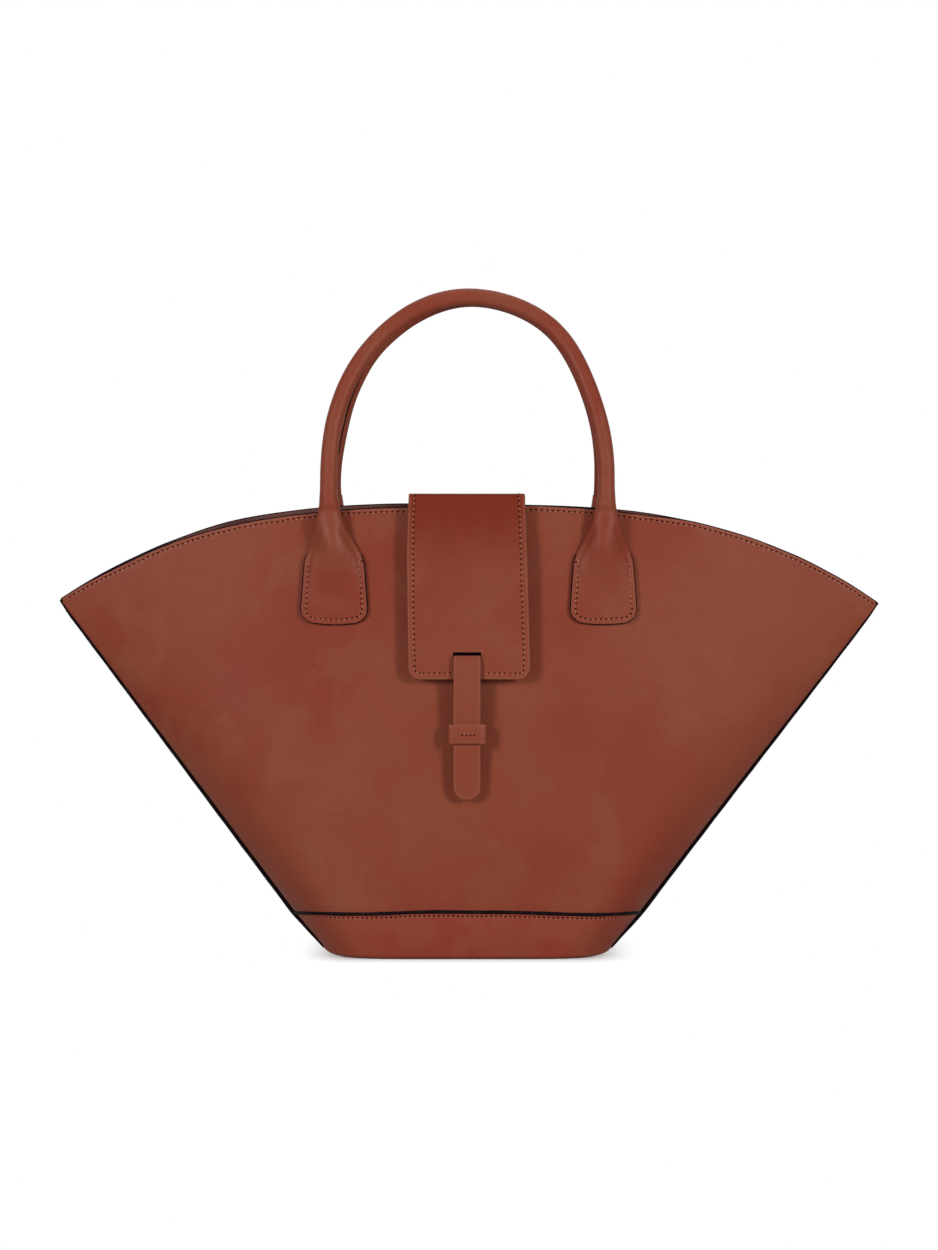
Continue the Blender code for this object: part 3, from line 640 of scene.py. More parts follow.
def make_band(side, name):
    u = columns(120)
    shares = np.concatenate([np.linspace(-1, 0, 9), np.linspace(0, 1, 26)[1:]])
    face, back = (np.array([band_point(u, s, depth, side) for s in shares]) for depth in (0.0, LEATHER))
    height = WAIST_HEIGHT - FOOT_HEIGHT
    below = (1 - shares[:, None]) * height
    # Darker at the sewing's line and, as painted shade, right under the waist piping.
    groove_and_shade = bell(below - 0.0016, 0.0005) + 0.6 * bell(below, 0.0008)
    fields = {"groove_and_shade": np.stack([groove_and_shade, 0 * groove_and_shade])}
    obj = slab(f"{name}_band_leather_painted_lighter", face, back, (BAND_LEATHER_PAINTED_LIGHTER, BLACK_EDGE), fields, back_slot=0)
    put(obj, "body_leather", "bag_body", f"{name}_base_band")

    u, share = columns(500, 0.985), 1 - 0.0018 / height
    path, ahead = (band_point(v, share, 0.0, side) for v in (u, np.clip(u + 1e-3, -1, 1)))
    normal = sewn_normals(path, ahead, (0.0, 0.0, 1.0), side)
    row = stitches(f"{name}_band_stitches", path, normal, pitch=0.0026, width=0.00052)
    put(row, "body_leather", "bag_body")


def make_waist_piping(side, name):
    u = columns(160, 0.999)
    path = inset(waist, u, PIPING_RADIUS - PIPING_PROUD - 0.0002, wander(u * side, WAIST_WANDER))
    path = facing(path, side)[::side]
    uneven = PIPING_RADIUS * (1.06 + 0.05 * np.sin(np.linspace(0, 60, len(path))))
    obj = tube(f"{name}_waist_piping", path, uneven, BLACK_PIPING, up=(0.0, 0.0, 1.0))
    put(obj, "black_edge", "bag_body", f"{name}_base_piping")


def make_side_piping(side, name):
    top = CORNER_HEIGHT - (0.0015 if side > 0 else 0.0)
    corners = [(MOUTH_HALF_WIDTH, top), (WAIST_HALF_WIDTH, WAIST_SIDE_HEIGHT), (FOOT_HALF_WIDTH, FOOT_HEIGHT)]
    corners = np.array(corners)
    runs = unit(np.diff(corners, axis=0))
    outward = np.stack([-runs[:, 1], runs[:, 0]], axis=1)
    middle = unit(outward[0] + outward[1])
    away = 0.0012
    top = corners[0] + outward[0] * 0.0010 + runs[0] * 0.0008
    bend = corners[1] + middle * away / middle.dot(outward[0])
    foot = corners[2] + outward[1] * away * 0.5 + runs[1] * 0.0020
    upper, lower = np.linspace(0, 1, 90)[:, None], np.linspace(0, 1, 16)[1:, None]
    flat = np.concatenate([mix(top, bend, upper), mix(bend, foot, lower)])
    for _ in range(3):
        flat[1:-1] = (flat[:-2] + 2 * flat[1:-1] + flat[2:]) / 4
    path = right_wing(points(side * flat[:, 0], 0.0, flat[:, 1]))
    t = np.linspace(0, 1, len(path))
    path[:, 1] = 0.0004 * np.sin(9 * t + side)
    radius = SIDE_PIPING_RADIUS * (1.0 + 0.04 * np.sin(70 * t + side))
    radius = radius * mix(0.45, 1.08, smoothstep(-0.005, 0.05, t))
    obj = tube(f"{name}_seam_piping", path, radius, BLACK_PIPING)
    put(obj, "black_edge", "bag_body", f"{name}_side_piping")


def make_lining(side, name):
    u, share = columns(110, 0.982), np.linspace(0, 1, 36)[:, None]
    top_share = 1 - 0.0007 / (RIM_HEIGHT - WAIST_HEIGHT)

    def grid(depth_in):
        slack = 0.0005 * (1 + np.sin(55 * u * mix(0.1, 0.2, share) + 5 * share + side)) * np.sin(math.pi * share)
        low = facing(inset(sole(1.0), u, depth_in, 0.0010), side)
        return np.concatenate([[low], body_point(u, share * top_share, depth_in + slack, side)])

    start = LEATHER + GAP
    obj = slab(f"{name}_lining_cloth", grid(start + LINING), grid(start), (TWILL,), back_slot=0, wall_slot=0)
    put(obj, "lining", "bag_body", f"{name}_lining")


for side, name in SIDES:
    make_panel(side, name)
    make_band(side, name)
    make_waist_piping(side, name)
    make_lining(side, name)
make_side_piping(-1, "left")
make_side_piping(1, "right")


# Handle tabs: padded leaves whose necks run up into the handles

# Height and half width of the leaf, read from the photograph's outline
TAB_OUTLINE = (
    (0.1892, 0.0186), (0.1934, 0.0183), (0.2025, 0.0176), (0.2100, 0.0171), (0.2164, 0.0165), (0.2195, 0.0152),
    (0.2224, 0.0138), (0.2284, 0.0109), (0.2347, 0.0081), (0.2410, 0.0064), (0.2455, 0.0057), (0.2475, 0.0054),
    (0.2500, 0.0051),
)
NECK = ((0, 0, 0.2462), (0, 0, 0.2660))


def tab_half_width(z):
    """The leaf's half width, with its outline's corners eased."""
    z = np.asarray(z, float)
    eased = sum(np.interp(z + d, *zip(*TAB_OUTLINE)) for d in (-0.0012, -0.0006, 0, 0.0006, 0.0012)) / 5
    return eased - drawn_in(z - TAB_BOTTOM, TAB_CORNER)


def tab_line(z, middle):
    """x of the leaf's middle line: below the neck it toes in, the left one more than the right."""
    toe = 0.0025 if middle < 0 else 0.0011
    return middle - math.copysign(1, middle) * (toe * smoothstep(0.2400, 0.2190, z) + 0.0003)


def moved_inward(parts, inward):
    """Stretches of a border, run with the inside on their left, joined and moved to that side."""
    runs = [np.gradient(part, axis=0) for part in parts]
    return np.concatenate(
        [part + unit(np.stack([-run[:, 1], run[:, 0]], axis=1)) * inward for part, run in zip(parts, runs)]
    )


def tab_outline(middle, inward, high=TAB_TOP):
    """The leaf's border seen from the front, moved inwards, from the left side round the bottom."""
    z = TAB_BOTTOM + (high - TAB_BOTTOM) * np.linspace(1, 0, 500) ** 1.6
    half, line = tab_half_width(z), tab_line(z, middle)
    left, right = np.stack([line - half, z], axis=1), np.stack([line + half, z], axis=1)[::-1]
    bottom = np.linspace(left[-1], right[0], 60)
    bottom[:, 1] -= TAB_BELLY * (1 - np.linspace(-1, 1, 60) ** 2)
    return moved_inward([left, bottom, right], inward)


def border_distance(x, z, middle):
    border = tab_outline(middle, 0.0)[::2]
    run = np.diff(border, axis=0)
    steps = np.concatenate([border[:-1] + run * t for t in (0.0, 0.5)])
    return np.hypot(x[..., None] - steps[:, 0], z[..., None] - steps[:, 1]).min(axis=-1)


def tab_pad(z, off):
    """How far the padding lifts the leaf, at a height and a distance from its middle line."""
    reach = mix(0.0130, 0.0092, smoothstep(0.2000, 0.2350, z))
    return 0.0102 * smoothstep(0.1900, 0.2360, z) * np.exp(-(np.abs(off / reach) ** 2.1))


def make_tab(side, name, middle):
    """A tab of the front, or with side -1 the one behind it. The middle is its x."""
    near = [0.0, 0.004, 0.012, 0.022, 0.034, 0.055, 0.095, 0.14]
    low = [0.0, 0.00006, 0.0002, 0.0004, 0.0006, 0.0009, 0.0013, 0.0018]
    heights = np.concatenate([TAB_BOTTOM + np.array(low), np.linspace(TAB_BOTTOM + 0.0025, TAB_TOP, 66)])
    z, a = np.meshgrid(heights, both_ways(near, np.linspace(0.20, 1.0, 17)), indexing="ij")
    half = tab_half_width(z)
    x = tab_line(z, middle) + half * a
    belly = (1 - (half / (tab_half_width(TAB_BOTTOM) + 1e-9) * a) ** 2).clip(0, 1)
    z = z - TAB_BELLY * belly * smoothstep(TAB_BOTTOM + 0.012, TAB_BOTTOM, z)
    edge = border_distance(x, z, middle)
    edge[np.abs(a) > 0.9999] = 0.0
    edge[0, :] = 0.0

    # Out of the panel: a flat leaf with a rolled edge and a pad, which turns into a round neck
    neck = smoothstep(0.2200, 0.2390, z)
    round_section = np.sqrt(np.clip(1 - a**2, 0, 1))
    groove_and_shade = bell(edge - STITCH_INSET, 0.00055) * smoothstep(0.2200, 0.2175, z)
    leaf = TAB_THICKNESS * quarter(edge / 0.0011) - 0.00012 * groove_and_shade
    raised = 0.0062 * smoothstep(0.2230, 0.2380, z)
    flat_out = leaf + tab_pad(z, half * a) * smoothstep(0.0, 0.005, edge)
    out = mix(flat_out, raised + (tab_pad(z, 0 * a) - raised) * round_section, neck)
    uneven = 0.00020 * np.sin(300 * x + 130 * z) * smoothstep(0.0035, 0.007, edge) * (1 - neck)
    on = np.minimum(z, RIM_HEIGHT - 0.0002)
    under, beside = on_panel(tab_line(z, middle), on)[..., 1], on_panel(x, on)[..., 1]
    seat = mix(beside, under, smoothstep(0.2300, 0.2440, z)) + (z - on) * math.tan(BODY_LEAN) - GAP
    axis = -HANDLE_AXIS_DEPTH + (z - HANDLE_AXIS_HEIGHT) * math.tan(HANDLE_LEAN)
    deep = tab_half_width(z) * round_section
    face_y = mix(seat - out - uneven, axis - deep, smoothstep(0.2435, 0.2490, z))
    back_y = mix(seat - raised * (1 - round_section) * neck, axis + deep, smoothstep(0.2462, 0.2482, z))

    def longer(grid):
        return np.concatenate([grid, grid[-1:]])

    def closed(y):
        """The leaf's points at these depths, with a last row drawn in round the handle's middle."""
        made = longer(points(x, y, z))
        made[-1] = mix(made[-1], points(tab_line(z[-1], middle), axis[-1], z[-1]), 0.12)
        return facing(made, side)

    # Painted shade in the crease where the neck meets the handle, added to the sewing's darker line; edges lighter,
    # partly wear, partly painted highlight on their rounding.
    groove_and_shade = np.maximum(groove_and_shade, 0.15 * bell(z - 0.2464, 0.00045))
    wear_and_highlight = 0.9 * bell(edge, 0.0011) * smoothstep(0.2230, 0.2190, z)
    cell_edge = np.minimum(np.minimum(edge[:-1, :-1], edge[1:, 1:]), np.minimum(edge[:-1, 1:], edge[1:, :-1]))
    painted = longer((cell_edge < 0.00042) & (z[:-1, :-1] < 0.2195)).astype(int)
    fields = {"groove_and_shade": longer(groove_and_shade), "edge": longer(wear_and_highlight)}
    materials = (BODY_LEATHER, BLACK_EDGE)
    obj = slab(
        f"{name}_leaf", closed(face_y), closed(back_y), materials, fields, face_slot=painted, back_slot=0, flat_angle=70
    )
    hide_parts(name)
    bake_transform(obj)

    x, z = tab_outline(middle, STITCH_INSET, high=0.2172).T
    sewn = on_panel(x, z)
    pad = tab_pad(z, x - tab_line(z, middle)) * smoothstep(0.0, 0.005, STITCH_INSET)
    sewn[:, 1] -= GAP + TAB_THICKNESS - 0.00005 + pad
    sewn, normal = facing(sewn, side), facing(unit(np.array([0.0, -1.0, 0.07])), side)
    inward = side * -math.copysign(1, middle)
    tack = sewn[-1 if middle < 0 else 0] + np.linspace(-0.0014, 0.0020, 8)[:, None] * np.array([inward, 0, 0])
    put(stitches(f"{name}_stitches", sewn, normal, pitch=0.0029), "body_leather", "bag_body")
    put(stitches(f"{name}_tack", tack, normal, slant=2.0), "body_leather", "bag_body")


make_tab(1, "front_left_tab", -HANDLE_HALF_SPAN)
make_tab(1, "front_right_tab", HANDLE_HALF_SPAN)
make_tab(-1, "back_right_tab", -HANDLE_HALF_SPAN)
make_tab(-1, "back_left_tab", HANDLE_HALF_SPAN)


# Handles: rolled leather tubes, sewn along their inner side


def handle_line(side):
    """The handle's middle line in space, from its left end to its right end, and the distance along it."""
    apex = math.hypot(HANDLE_RISE, HANDLE_AXIS_DEPTH - HANDLE_RADIUS - GAP / 2)
    limb = np.stack([np.full(22, HANDLE_HALF_SPAN), np.linspace(-0.0040, HANDLE_LIMB, 22)], axis=1)
    turn = np.linspace(0, math.pi, 180)[1:-1]
    arch = np.stack([HANDLE_HALF_SPAN * np.cos(turn), mix(HANDLE_LIMB, apex, np.sin(turn))], axis=1)
    flat = np.concatenate([limb, arch, (limb * np.array([-1.0, 1.0]))[::-1]])[::-1]
    run = run_of(flat)
    even = np.linspace(0, run[-1], 220)
    x, up = at_run(even, run, flat).T
    path = points(x, up * math.sin(HANDLE_LEAN) - HANDLE_AXIS_DEPTH, up * math.cos(HANDLE_LEAN) + HANDLE_AXIS_HEIGHT)
    high = smoothstep(0.02, 0.09, up)
    path[:, 0] += 0.0036 * bell(x - 0.042, 0.030) * smoothstep(0.045, 0.10, up)
    path[:, 0] -= 0.0009 * bell(x + 0.063, 0.018) * smoothstep(0.015, 0.045, up)
    if side < 0:
        path[:, 1] *= -1
        left = smoothstep(-0.012, 0.030, -x)
        path[:, 0] += (0.0026 * smoothstep(0.004, 0.045, up) - 0.0009 * smoothstep(0.065, 0.090, up)) * left
        path[:, 2] -= 0.0012 * smoothstep(0.070, 0.100, up) * left + 0.0003 * high
    else:
        path[:, 2] += 0.0003 * np.sin(26 * x + 0.6) * high
    return path, even


def make_handle(side, name):
    path, even = handle_line(side)
    end = np.minimum(even, even[-1] - even)
    radius = HANDLE_RADIUS * (1 + 0.012 * np.sin(even * 95 + side) + 0.008 * np.sin(even * 41))
    radius = radius + 0.0004 * bell(end, 0.0062)
    roll = tube(f"{name}_handle_roll", path, radius, BODY_LEATHER, sides=40)
    bodies = ("bag_body", f"{name}_handle", *NECK)
    put(roll, "body_leather", bodies, f"{name}_handle_leather", f"{name}_handle_core")

    # The sewn lips along the inside of the arch, with their painted edge
    tangent = unit(np.gradient(path, axis=0))
    plane = unit(np.array([0.0, -math.cos(HANDLE_LEAN) * side, -math.sin(HANDLE_LEAN)]))
    inward = unit(np.cross(tangent, plane))
    middle = np.array([0.0, path[:, 1].mean(), 0.28])
    inward = inward * np.median(np.sign(np.einsum("ij,ij->i", inward, middle - path)))
    toward = 0.42 + (0.30 * smoothstep(-0.01, 0.03, -path[:, :1]) if side > 0 else 0.0)
    aim = unit(inward * toward + np.array([0.0, side * 0.90, 0.0]))
    kept = end > 0.020
    path, tangent, aim, radius = path[kept], tangent[kept], aim[kept], radius[kept, None]
    fat = 0.0004 * smoothstep(0, 0.01, end[kept] - 0.020) + 0.00005
    seam = tube(f"{name}_handle_seam", path + aim * (radius - 0.00005), fat, BLACK_EDGE, sides=10)
    turned = unit(aim * math.cos(0.34) + unit(np.cross(tangent, aim)) * math.sin(0.34) * side)
    row = stitches(f"{name}_handle_stitches", path + turned * radius, turned, margin=0.004)
    put(seam, "black_edge", bodies)
    put(row, "body_leather", bodies)


for side, name in SIDES:
    make_handle(side, name)


# Flap: one strip from its root on the back, over the mouth and down the front


def rounded_profile(corners, radii, step=0.0004):
    """A path through corners in (y, z), with arcs of the given radii at the inner ones."""
    corners = [np.array(corner) for corner in corners]
    made = [corners[0]]
    for before, corner, after, radius in zip(corners, corners[1:], corners[2:], radii):
        a, b = unit(before - corner), unit(after - corner)
        half = math.acos(float(a.dot(b))) / 2
        centre = corner + unit(a + b) * radius / math.sin(half)
        start, end = (corner + way * radius / math.tan(half) - centre for way in (a, b))
        first = math.atan2(start[1], start[0])
        sweep = (math.atan2(end[1], end[0]) - first + math.pi) % (2 * math.pi) - math.pi
        for angle in first + sweep * np.linspace(0, 1, 13):
            made.append(centre + radius * np.array([math.cos(angle), math.sin(angle)]))
    made = np.array([*made, corners[-1]])
    run = run_of(made)
    even = np.linspace(0, run[-1], max(2, int(run[-1] / step)))
    return even, at_run(even, run, made)


LEAN = math.tan(BODY_LEAN)
FLAP_CORNERS = (
    (-FRONT_CREST - LEAN * (CREST_HEIGHT - FLAP_BOTTOM), FLAP_BOTTOM),
    (-FRONT_CREST, CREST_HEIGHT),
    (BACK_CREST, CREST_HEIGHT),
    (BACK_CREST + LEAN * (RIM_HEIGHT - ANCHOR_END), ANCHOR_END),
)
FLAP_RUN, FLAP_PROFILE = rounded_profile(FLAP_CORNERS, (0.0038, 0.0042))
FLAP_TANGENT = unit(np.gradient(FLAP_PROFILE, axis=0))
FACE_RUN = (CREST_HEIGHT - FLAP_BOTTOM) / math.cos(BODY_LEAN)
BRIDGE_MIDDLE, LINING_END, FLAP_END = FACE_RUN + 0.034, FACE_RUN + 0.0716, float(FLAP_RUN[-1])
LAYERS = LEATHER + GAP + LINING
CLOSE = np.array([0.0, 0.00006, 0.0002, 0.00045, 0.0008, 0.0012, 0.0018])
SLOT_SIDES = (-0.0080, 0.0074)
SLOT_RUN = [FACE_RUN - (CREST_HEIGHT - SLOT_TOP + low) / math.cos(BODY_LEAN) for low in (SLOT_HEIGHT, 0.0)]
BACK_FOLD = ("bag_body", "flap_top", (0, 0.0350, 0.2462), (0, 0.0270, 0.2540))
FRONT_FOLD = ("flap_top", "flap_face", (0, -0.0320, 0.2540), (0, -0.0400, 0.2462))


def flap_middle(run):
    return np.interp(run, (0.0, 0.009, 0.069, 0.100, 0.150, 0.230), (0.0009, 0.0009, -0.00035, -0.0005, 0.0, 0.0))


def flap_point(x, run, inward=0.0):
    """A point of the flap, inward from its outer face, at a distance up from its front edge."""
    x, run, inward = np.broadcast_arrays(x, run, inward)
    y, z = (np.interp(run, FLAP_RUN, values) for values in FLAP_PROFILE.T)
    up, out = (np.interp(run, FLAP_RUN, values) for values in FLAP_TANGENT.T)
    size = np.hypot(up, out)
    on_face = np.sin(np.pi * np.clip(run / FACE_RUN, 0, 1))
    bow = 0.0007 * on_face + 0.00025 * np.sin(120 * x + 60 * run) * on_face
    on_bridge = np.sin(np.pi * np.clip((run - FACE_RUN) / 0.07, 0, 1)) ** 2
    out_by = bow - 0.0012 * on_bridge * (1 - (x / 0.05) ** 2) - inward
    back_drop = 0.0024 * smoothstep(FACE_RUN + 0.002, FACE_RUN + 0.066, run)
    back_drop = back_drop * (1 - smoothstep(FACE_RUN + 0.074, FLAP_END - 0.004, run))
    return points(x, y - out / size * out_by, z + up / size * out_by - back_drop)


def strip_half(run, start, end, low_round, high_round):
    """The half width of a stretch of the flap, with its corners rounded."""
    knots = (0.0, 0.019, 0.069, 0.100, 0.140, 0.180, 0.230)
    half = np.interp(run, knots, (0.0329, 0.0329, 0.0325, 0.0314, 0.0317, 0.0322, 0.0324))
    for edge, radius, way in ((start, low_round, 1), (end, high_round, -1)):
        if radius:
            half = half - drawn_in((run - edge) * way, radius)
    return half


def strip_border(start, end, low_round, high_round, inward=0.0):
    """The strip's border in (x, run), left side down to the start and up the right side."""
    run = np.linspace(end, start, 900)
    half, middle = strip_half(run, start, end, low_round, high_round), flap_middle(run)
    left, right = np.stack([middle - half, run], axis=1), np.stack([middle + half, run], axis=1)[::-1]
    parts = [left, right]
    if low_round:
        parts.insert(1, np.linspace(left[-1], right[0], 200))
    if high_round:
        parts.append(np.linspace(right[-1], left[0], 200))
    return moved_inward(parts, inward)


def strip(name, start, end, low_round, high_round, lined, *nodes):
    """A stretch of the flap's leather or lining. The one that starts with a rounded end has the strap's slot."""
    slot = low_round > 0
    low = start + CLOSE if low_round else np.array([start])
    high = (end - CLOSE)[::-1] if high_round else np.array([end])
    step = 0.0022
    runs = np.concatenate([low, np.arange(low[-1] + step, high[0] - step / 2, step), high])
    shares = np.concatenate([CLOSE, [0.0024, 0.0029, 0.0034, 0.0044]]) / 0.0329
    across = both_ways(shares, np.linspace(shares[-1] + 0.05, 1.0, 11))
    keep = None
    if slot:
        marks = [(x - 0.0008) / 0.0329 for x in SLOT_SIDES]
        across = np.sort([a for a in across if min(abs(a - m) for m in marks) > 0.02] + marks)
        runs = np.sort([r for r in runs if min(abs(r - s) for s in SLOT_RUN) > 0.0006] + SLOT_RUN)
        inside_x = (across[:-1] + 1e-6 >= marks[0]) & (across[1:] - 1e-6 <= marks[1])
        inside_run = (runs[:-1] + 1e-6 >= SLOT_RUN[0]) & (runs[1:] - 1e-6 <= SLOT_RUN[1])
        keep = ~(inside_run[:, None] & inside_x[None, :])
    run, a = np.meshgrid(runs, across, indexing="ij")
    x = flap_middle(run) + strip_half(run, start, end, low_round, high_round) * a

    # Distance to the border, which runs on past an end that joins the next stretch
    far, close = (0.0 if radius else 0.02 for radius in (low_round, high_round))
    border = strip_border(start - far, end + close, low_round, high_round)
    gap = np.full(run.shape, 9.0)
    for piece in np.array_split(border, 6):
        gap = np.minimum(gap, np.hypot(x[..., None] - piece[:, 0], run[..., None] - piece[:, 1]).min(axis=-1))
    rounding = 0.0 if lined else drawn_in(gap, 0.00055)
    # The sewing's line is pressed darker, partly as painted shade; the edges are lighter, partly wear, partly painted
    # highlight, with a painted highlight round the slot.
    groove_and_shade = bell(gap - STITCH_INSET, 0.0005)
    wear_and_highlight = bell(gap, 0.0011)
    if slot:
        aside = np.maximum(np.maximum(SLOT_SIDES[0] - x, x - SLOT_SIDES[1]), 0)
        above = np.maximum(np.maximum(SLOT_RUN[0] - run, run - SLOT_RUN[1]), 0)
        wear_and_highlight = np.maximum(wear_and_highlight, 0.5 * bell(np.hypot(aside, above), 0.0007))
    low_in, high_in = (LEATHER + 0.00005, LAYERS) if lined else (0.0, LEATHER)
    materials = (TWILL, TWILL, BLACK_EDGE) if lined else (FLAP_LEATHER_PAINTED_LIGHT_AND_SHADE, TWILL, RAW_EDGE)
    # Painted shade: darker towards the flap's fold over the mouth and beyond it.
    fields = {"groove_and_shade": groove_and_shade, "edge": wear_and_highlight, "crest": smoothstep(FACE_RUN - 0.050, FACE_RUN - 0.004, run)}
    face = flap_point(x, run, low_in + rounding + 0.0001 * groove_and_shade)
    obj = slab(name, face, flap_point(x, run, high_in), materials, fields, keep, wall_slot=2)
    put(obj, "lining" if lined else "flap_leather", FRONT_FOLD if slot else BACK_FOLD, *nodes)
    return obj


# Painted shade: the slot's walls are painted black for the shade inside the slot, unlike the flap's other edges
flap_face = strip("flap_face_leather", 0.0, BRIDGE_MIDDLE, FLAP_ROUND, 0, False, "flap_front").data
flap_face.materials.append(BLACK_EDGE)
for polygon in flap_face.polygons:
    if polygon.material_index == 2 and abs(polygon.center.x) < 0.0095 and polygon.center.z > FLAP_BOTTOM + 0.004:
        polygon.material_index = 3
strip("flap_root_leather", BRIDGE_MIDDLE, FLAP_END, 0, FLAP_ROUND, False, "flap_bridge", "flap_anchor")
strip("flap_face_lining", 0.0002, BRIDGE_MIDDLE, FLAP_ROUND, 0, True, "flap_front_lining")
strip("flap_bridge_cloth", BRIDGE_MIDDLE, LINING_END, 0, 0, True, "flap_bridge_lining")


def flap_row(name, fold, x, run):
    """A row of stitches along a path on the flap's outer face."""
    sewn = flap_point(x, run, 0.0001 + 0.00022 * bell(run - FACE_RUN, 0.0035))
    put(stitches(name, sewn, unit(flap_point(x, run, -0.001) - sewn), pitch=0.0029), "flap_leather", fold)


x, run = strip_border(0.0, BRIDGE_MIDDLE, FLAP_ROUND, 0, STITCH_INSET).T
sewn = (run > STITCH_INSET - 0.0005) & (run < BRIDGE_MIDDLE)
for name, kept in (("left", x < SLOT_SIDES[0] - 0.0012), ("right", x > SLOT_SIDES[1] + 0.0012)):
    flap_row(f"flap_{name}_stitches", FRONT_FOLD, x[sewn & kept], run[sewn & kept])
x, run = strip_border(BRIDGE_MIDDLE, FLAP_END, 0, FLAP_ROUND, STITCH_INSET).T
sewn = (run > BRIDGE_MIDDLE) & (run < FLAP_END - STITCH_INSET - 0.0006)
for name, kept in (("left", x < 0), ("right", x > 0)):
    flap_row(f"root_{name}_stitches", BACK_FOLD, x[sewn & kept][::-1], run[sewn & kept][::-1])
for name, half, low in (("end", 0.026, STITCH_INSET), ("upper", 0.0285, 0.0400)):
    flap_row(f"root_{name}_stitches", BACK_FOLD, np.linspace(-half, half, 60), np.full(60, FLAP_END - low))


# Strap, its keeper and the patch that holds it behind the flap

OUTWARD = np.array([0.0, -math.cos(BODY_LEAN), math.sin(BODY_LEAN)])


def lean_point(x, out, z):
    """A point outward from the flap's plane, at a height on the bag."""
    return points(x, -FRONT_CREST - LEAN * (CREST_HEIGHT - z) - out / math.cos(BODY_LEAN), z)


def strap_stand_off(z):
    """The strap lies on the flap below its slot and hangs in towards its tip."""
    drop = SLOT_TOP - z
    return 0.0001 * smoothstep(0.001, 0.010, drop) - 0.0042 * smoothstep(0.008, 0.085, drop)


def make_strap():
    root = SLOT_TOP - 0.0023
    line, profile = rounded_profile([(-0.0022, root), (0.0018, root), (0.0018, STRAP_TIP)], (0.0016,), 0.0003)
    length, tip_round = line[-1], 0.0066
    runs = [np.linspace(0, 0.008, 20), np.linspace(0.008, length - 0.0018, 46)[1:], length - CLOSE[::-1][1:]]
    across = both_ways(CLOSE[:6] / STRAP_HALF_WIDTH, np.linspace(0.24, 1.0, 8))
    run, a = np.meshgrid(np.concatenate(runs), across, indexing="ij")
    left = np.clip((run - (length - tip_round)) / tip_round, 0, 1)
    half = np.maximum(STRAP_HALF_WIDTH * np.sqrt(1 - left**2), 0.00002)
    x = half * a + STRAP_X
    gap = np.minimum(half * (1 - np.abs(a)) * np.sqrt(1 - 0.55 * left**2), length - run)
    rounding = drawn_in(gap, 0.00050)
    out, z = (np.interp(run, line, values) for values in profile.T)
    up, side_out = (np.interp(run, line, values) for values in unit(np.gradient(profile, axis=0)).T)
    size = np.hypot(up, side_out)
    side_out, up = -side_out / size, up / size
    hang = strap_stand_off(z) + 0.0002 * np.sin(90 * z + 200 * x)
    front_off, back_off = (STRAP_THICKNESS / 2 - 0.0002 - rounding * by for by in (1.0, 0.6))
    face = lean_point(x, out + side_out * front_off + hang, z + up * front_off)
    back = lean_point(x, out - side_out * back_off + hang, z - up * back_off)
    # Painted shade: the strap's stretch inside the slot is painted black for the shade there. Its edges are lighter,
    # partly wear, partly painted highlight.
    inside = np.where(run[:-1, :-1] < 0.0033, 2, 0)
    materials, fields = (BODY_LEATHER, RAW_EDGE, BLACK_EDGE), {"edge": bell(gap, 0.0009)}
    obj = slab("strap_leather", face, back, materials, fields, face_slot=inside, back_slot=0)
    bend = (tuple(lean_point(0.0, out, SLOT_TOP - drop)) for out, drop in ((0.0016, 0.0008), (0.0034, 0.0070)))
    put(obj, "body_leather", ("flap_face", "closing_strap", *bend), "strap")


def make_keeper():
    """A loop of leather round the strap, joined at its back and sewn through in front."""
    out_middle = 0.0018 + float(strap_stand_off(KEEPER_HEIGHT))
    half_wide, half_deep = STRAP_HALF_WIDTH + 0.0005, STRAP_THICKNESS / 2 + 0.0004
    wall, half_length = 0.0013, 0.00530
    turn = np.linspace(0, 2 * math.pi, 97)[:-1]

    def loop(half, deep, power):
        c, s = np.cos(turn), np.sin(turn)
        return np.stack([half * np.sign(c) * np.abs(c) ** power, deep * np.sign(s) * np.abs(s) ** power], axis=1)

    inner, outer = loop(half_wide, half_deep, 0.45), loop(half_wide + 0.0025, half_deep + wall, 0.62)
    levels = [-half_length + CLOSE[:6], np.linspace(-0.0035, 0.0035, 10), (half_length - CLOSE[:6])[::-1]]
    level = np.concatenate(levels)[:, None]
    gap = half_length - np.abs(level)
    crown = 1 + 0.00020 * np.cos(level / half_length * math.pi / 2) / 0.003
    wide, deep = (mix(a, b, drawn_in(gap, 0.00055) / wall) for a, b in zip(outer.T, inner.T))
    z = KEEPER_HEIGHT + level + 0.00012 * np.sin(3 * turn)
    face = lean_point(wide + STRAP_X + 0.0001, out_middle - deep * crown, z)
    back = lean_point(inner[:, 0] + STRAP_X, out_middle - inner[:, 1], z)
    face, back = (np.concatenate([grid, grid[:, :1]], axis=1) for grid in (face, back))
    # Edges lighter, partly wear, partly painted highlight.
    fields = {"edge": bell(gap, 0.0009)}
    obj = slab("keeper_loop", face, back, (BODY_LEATHER, RAW_EDGE), fields, back_slot=0, merge=2e-6)
    put(obj, "body_leather", "closing_strap", "keeper")

    front = out_middle + half_deep + wall + 0.00030
    path = lean_point(np.linspace(-0.0046, 0.0040, 30) + STRAP_X, front, KEEPER_HEIGHT + 0.0001)
    row = stitches("keeper_stitches", path, OUTWARD, pitch=0.0021, slant=-28.0, width=0.00060, rise=0.00028)
    put(row, "body_leather", "closing_strap")


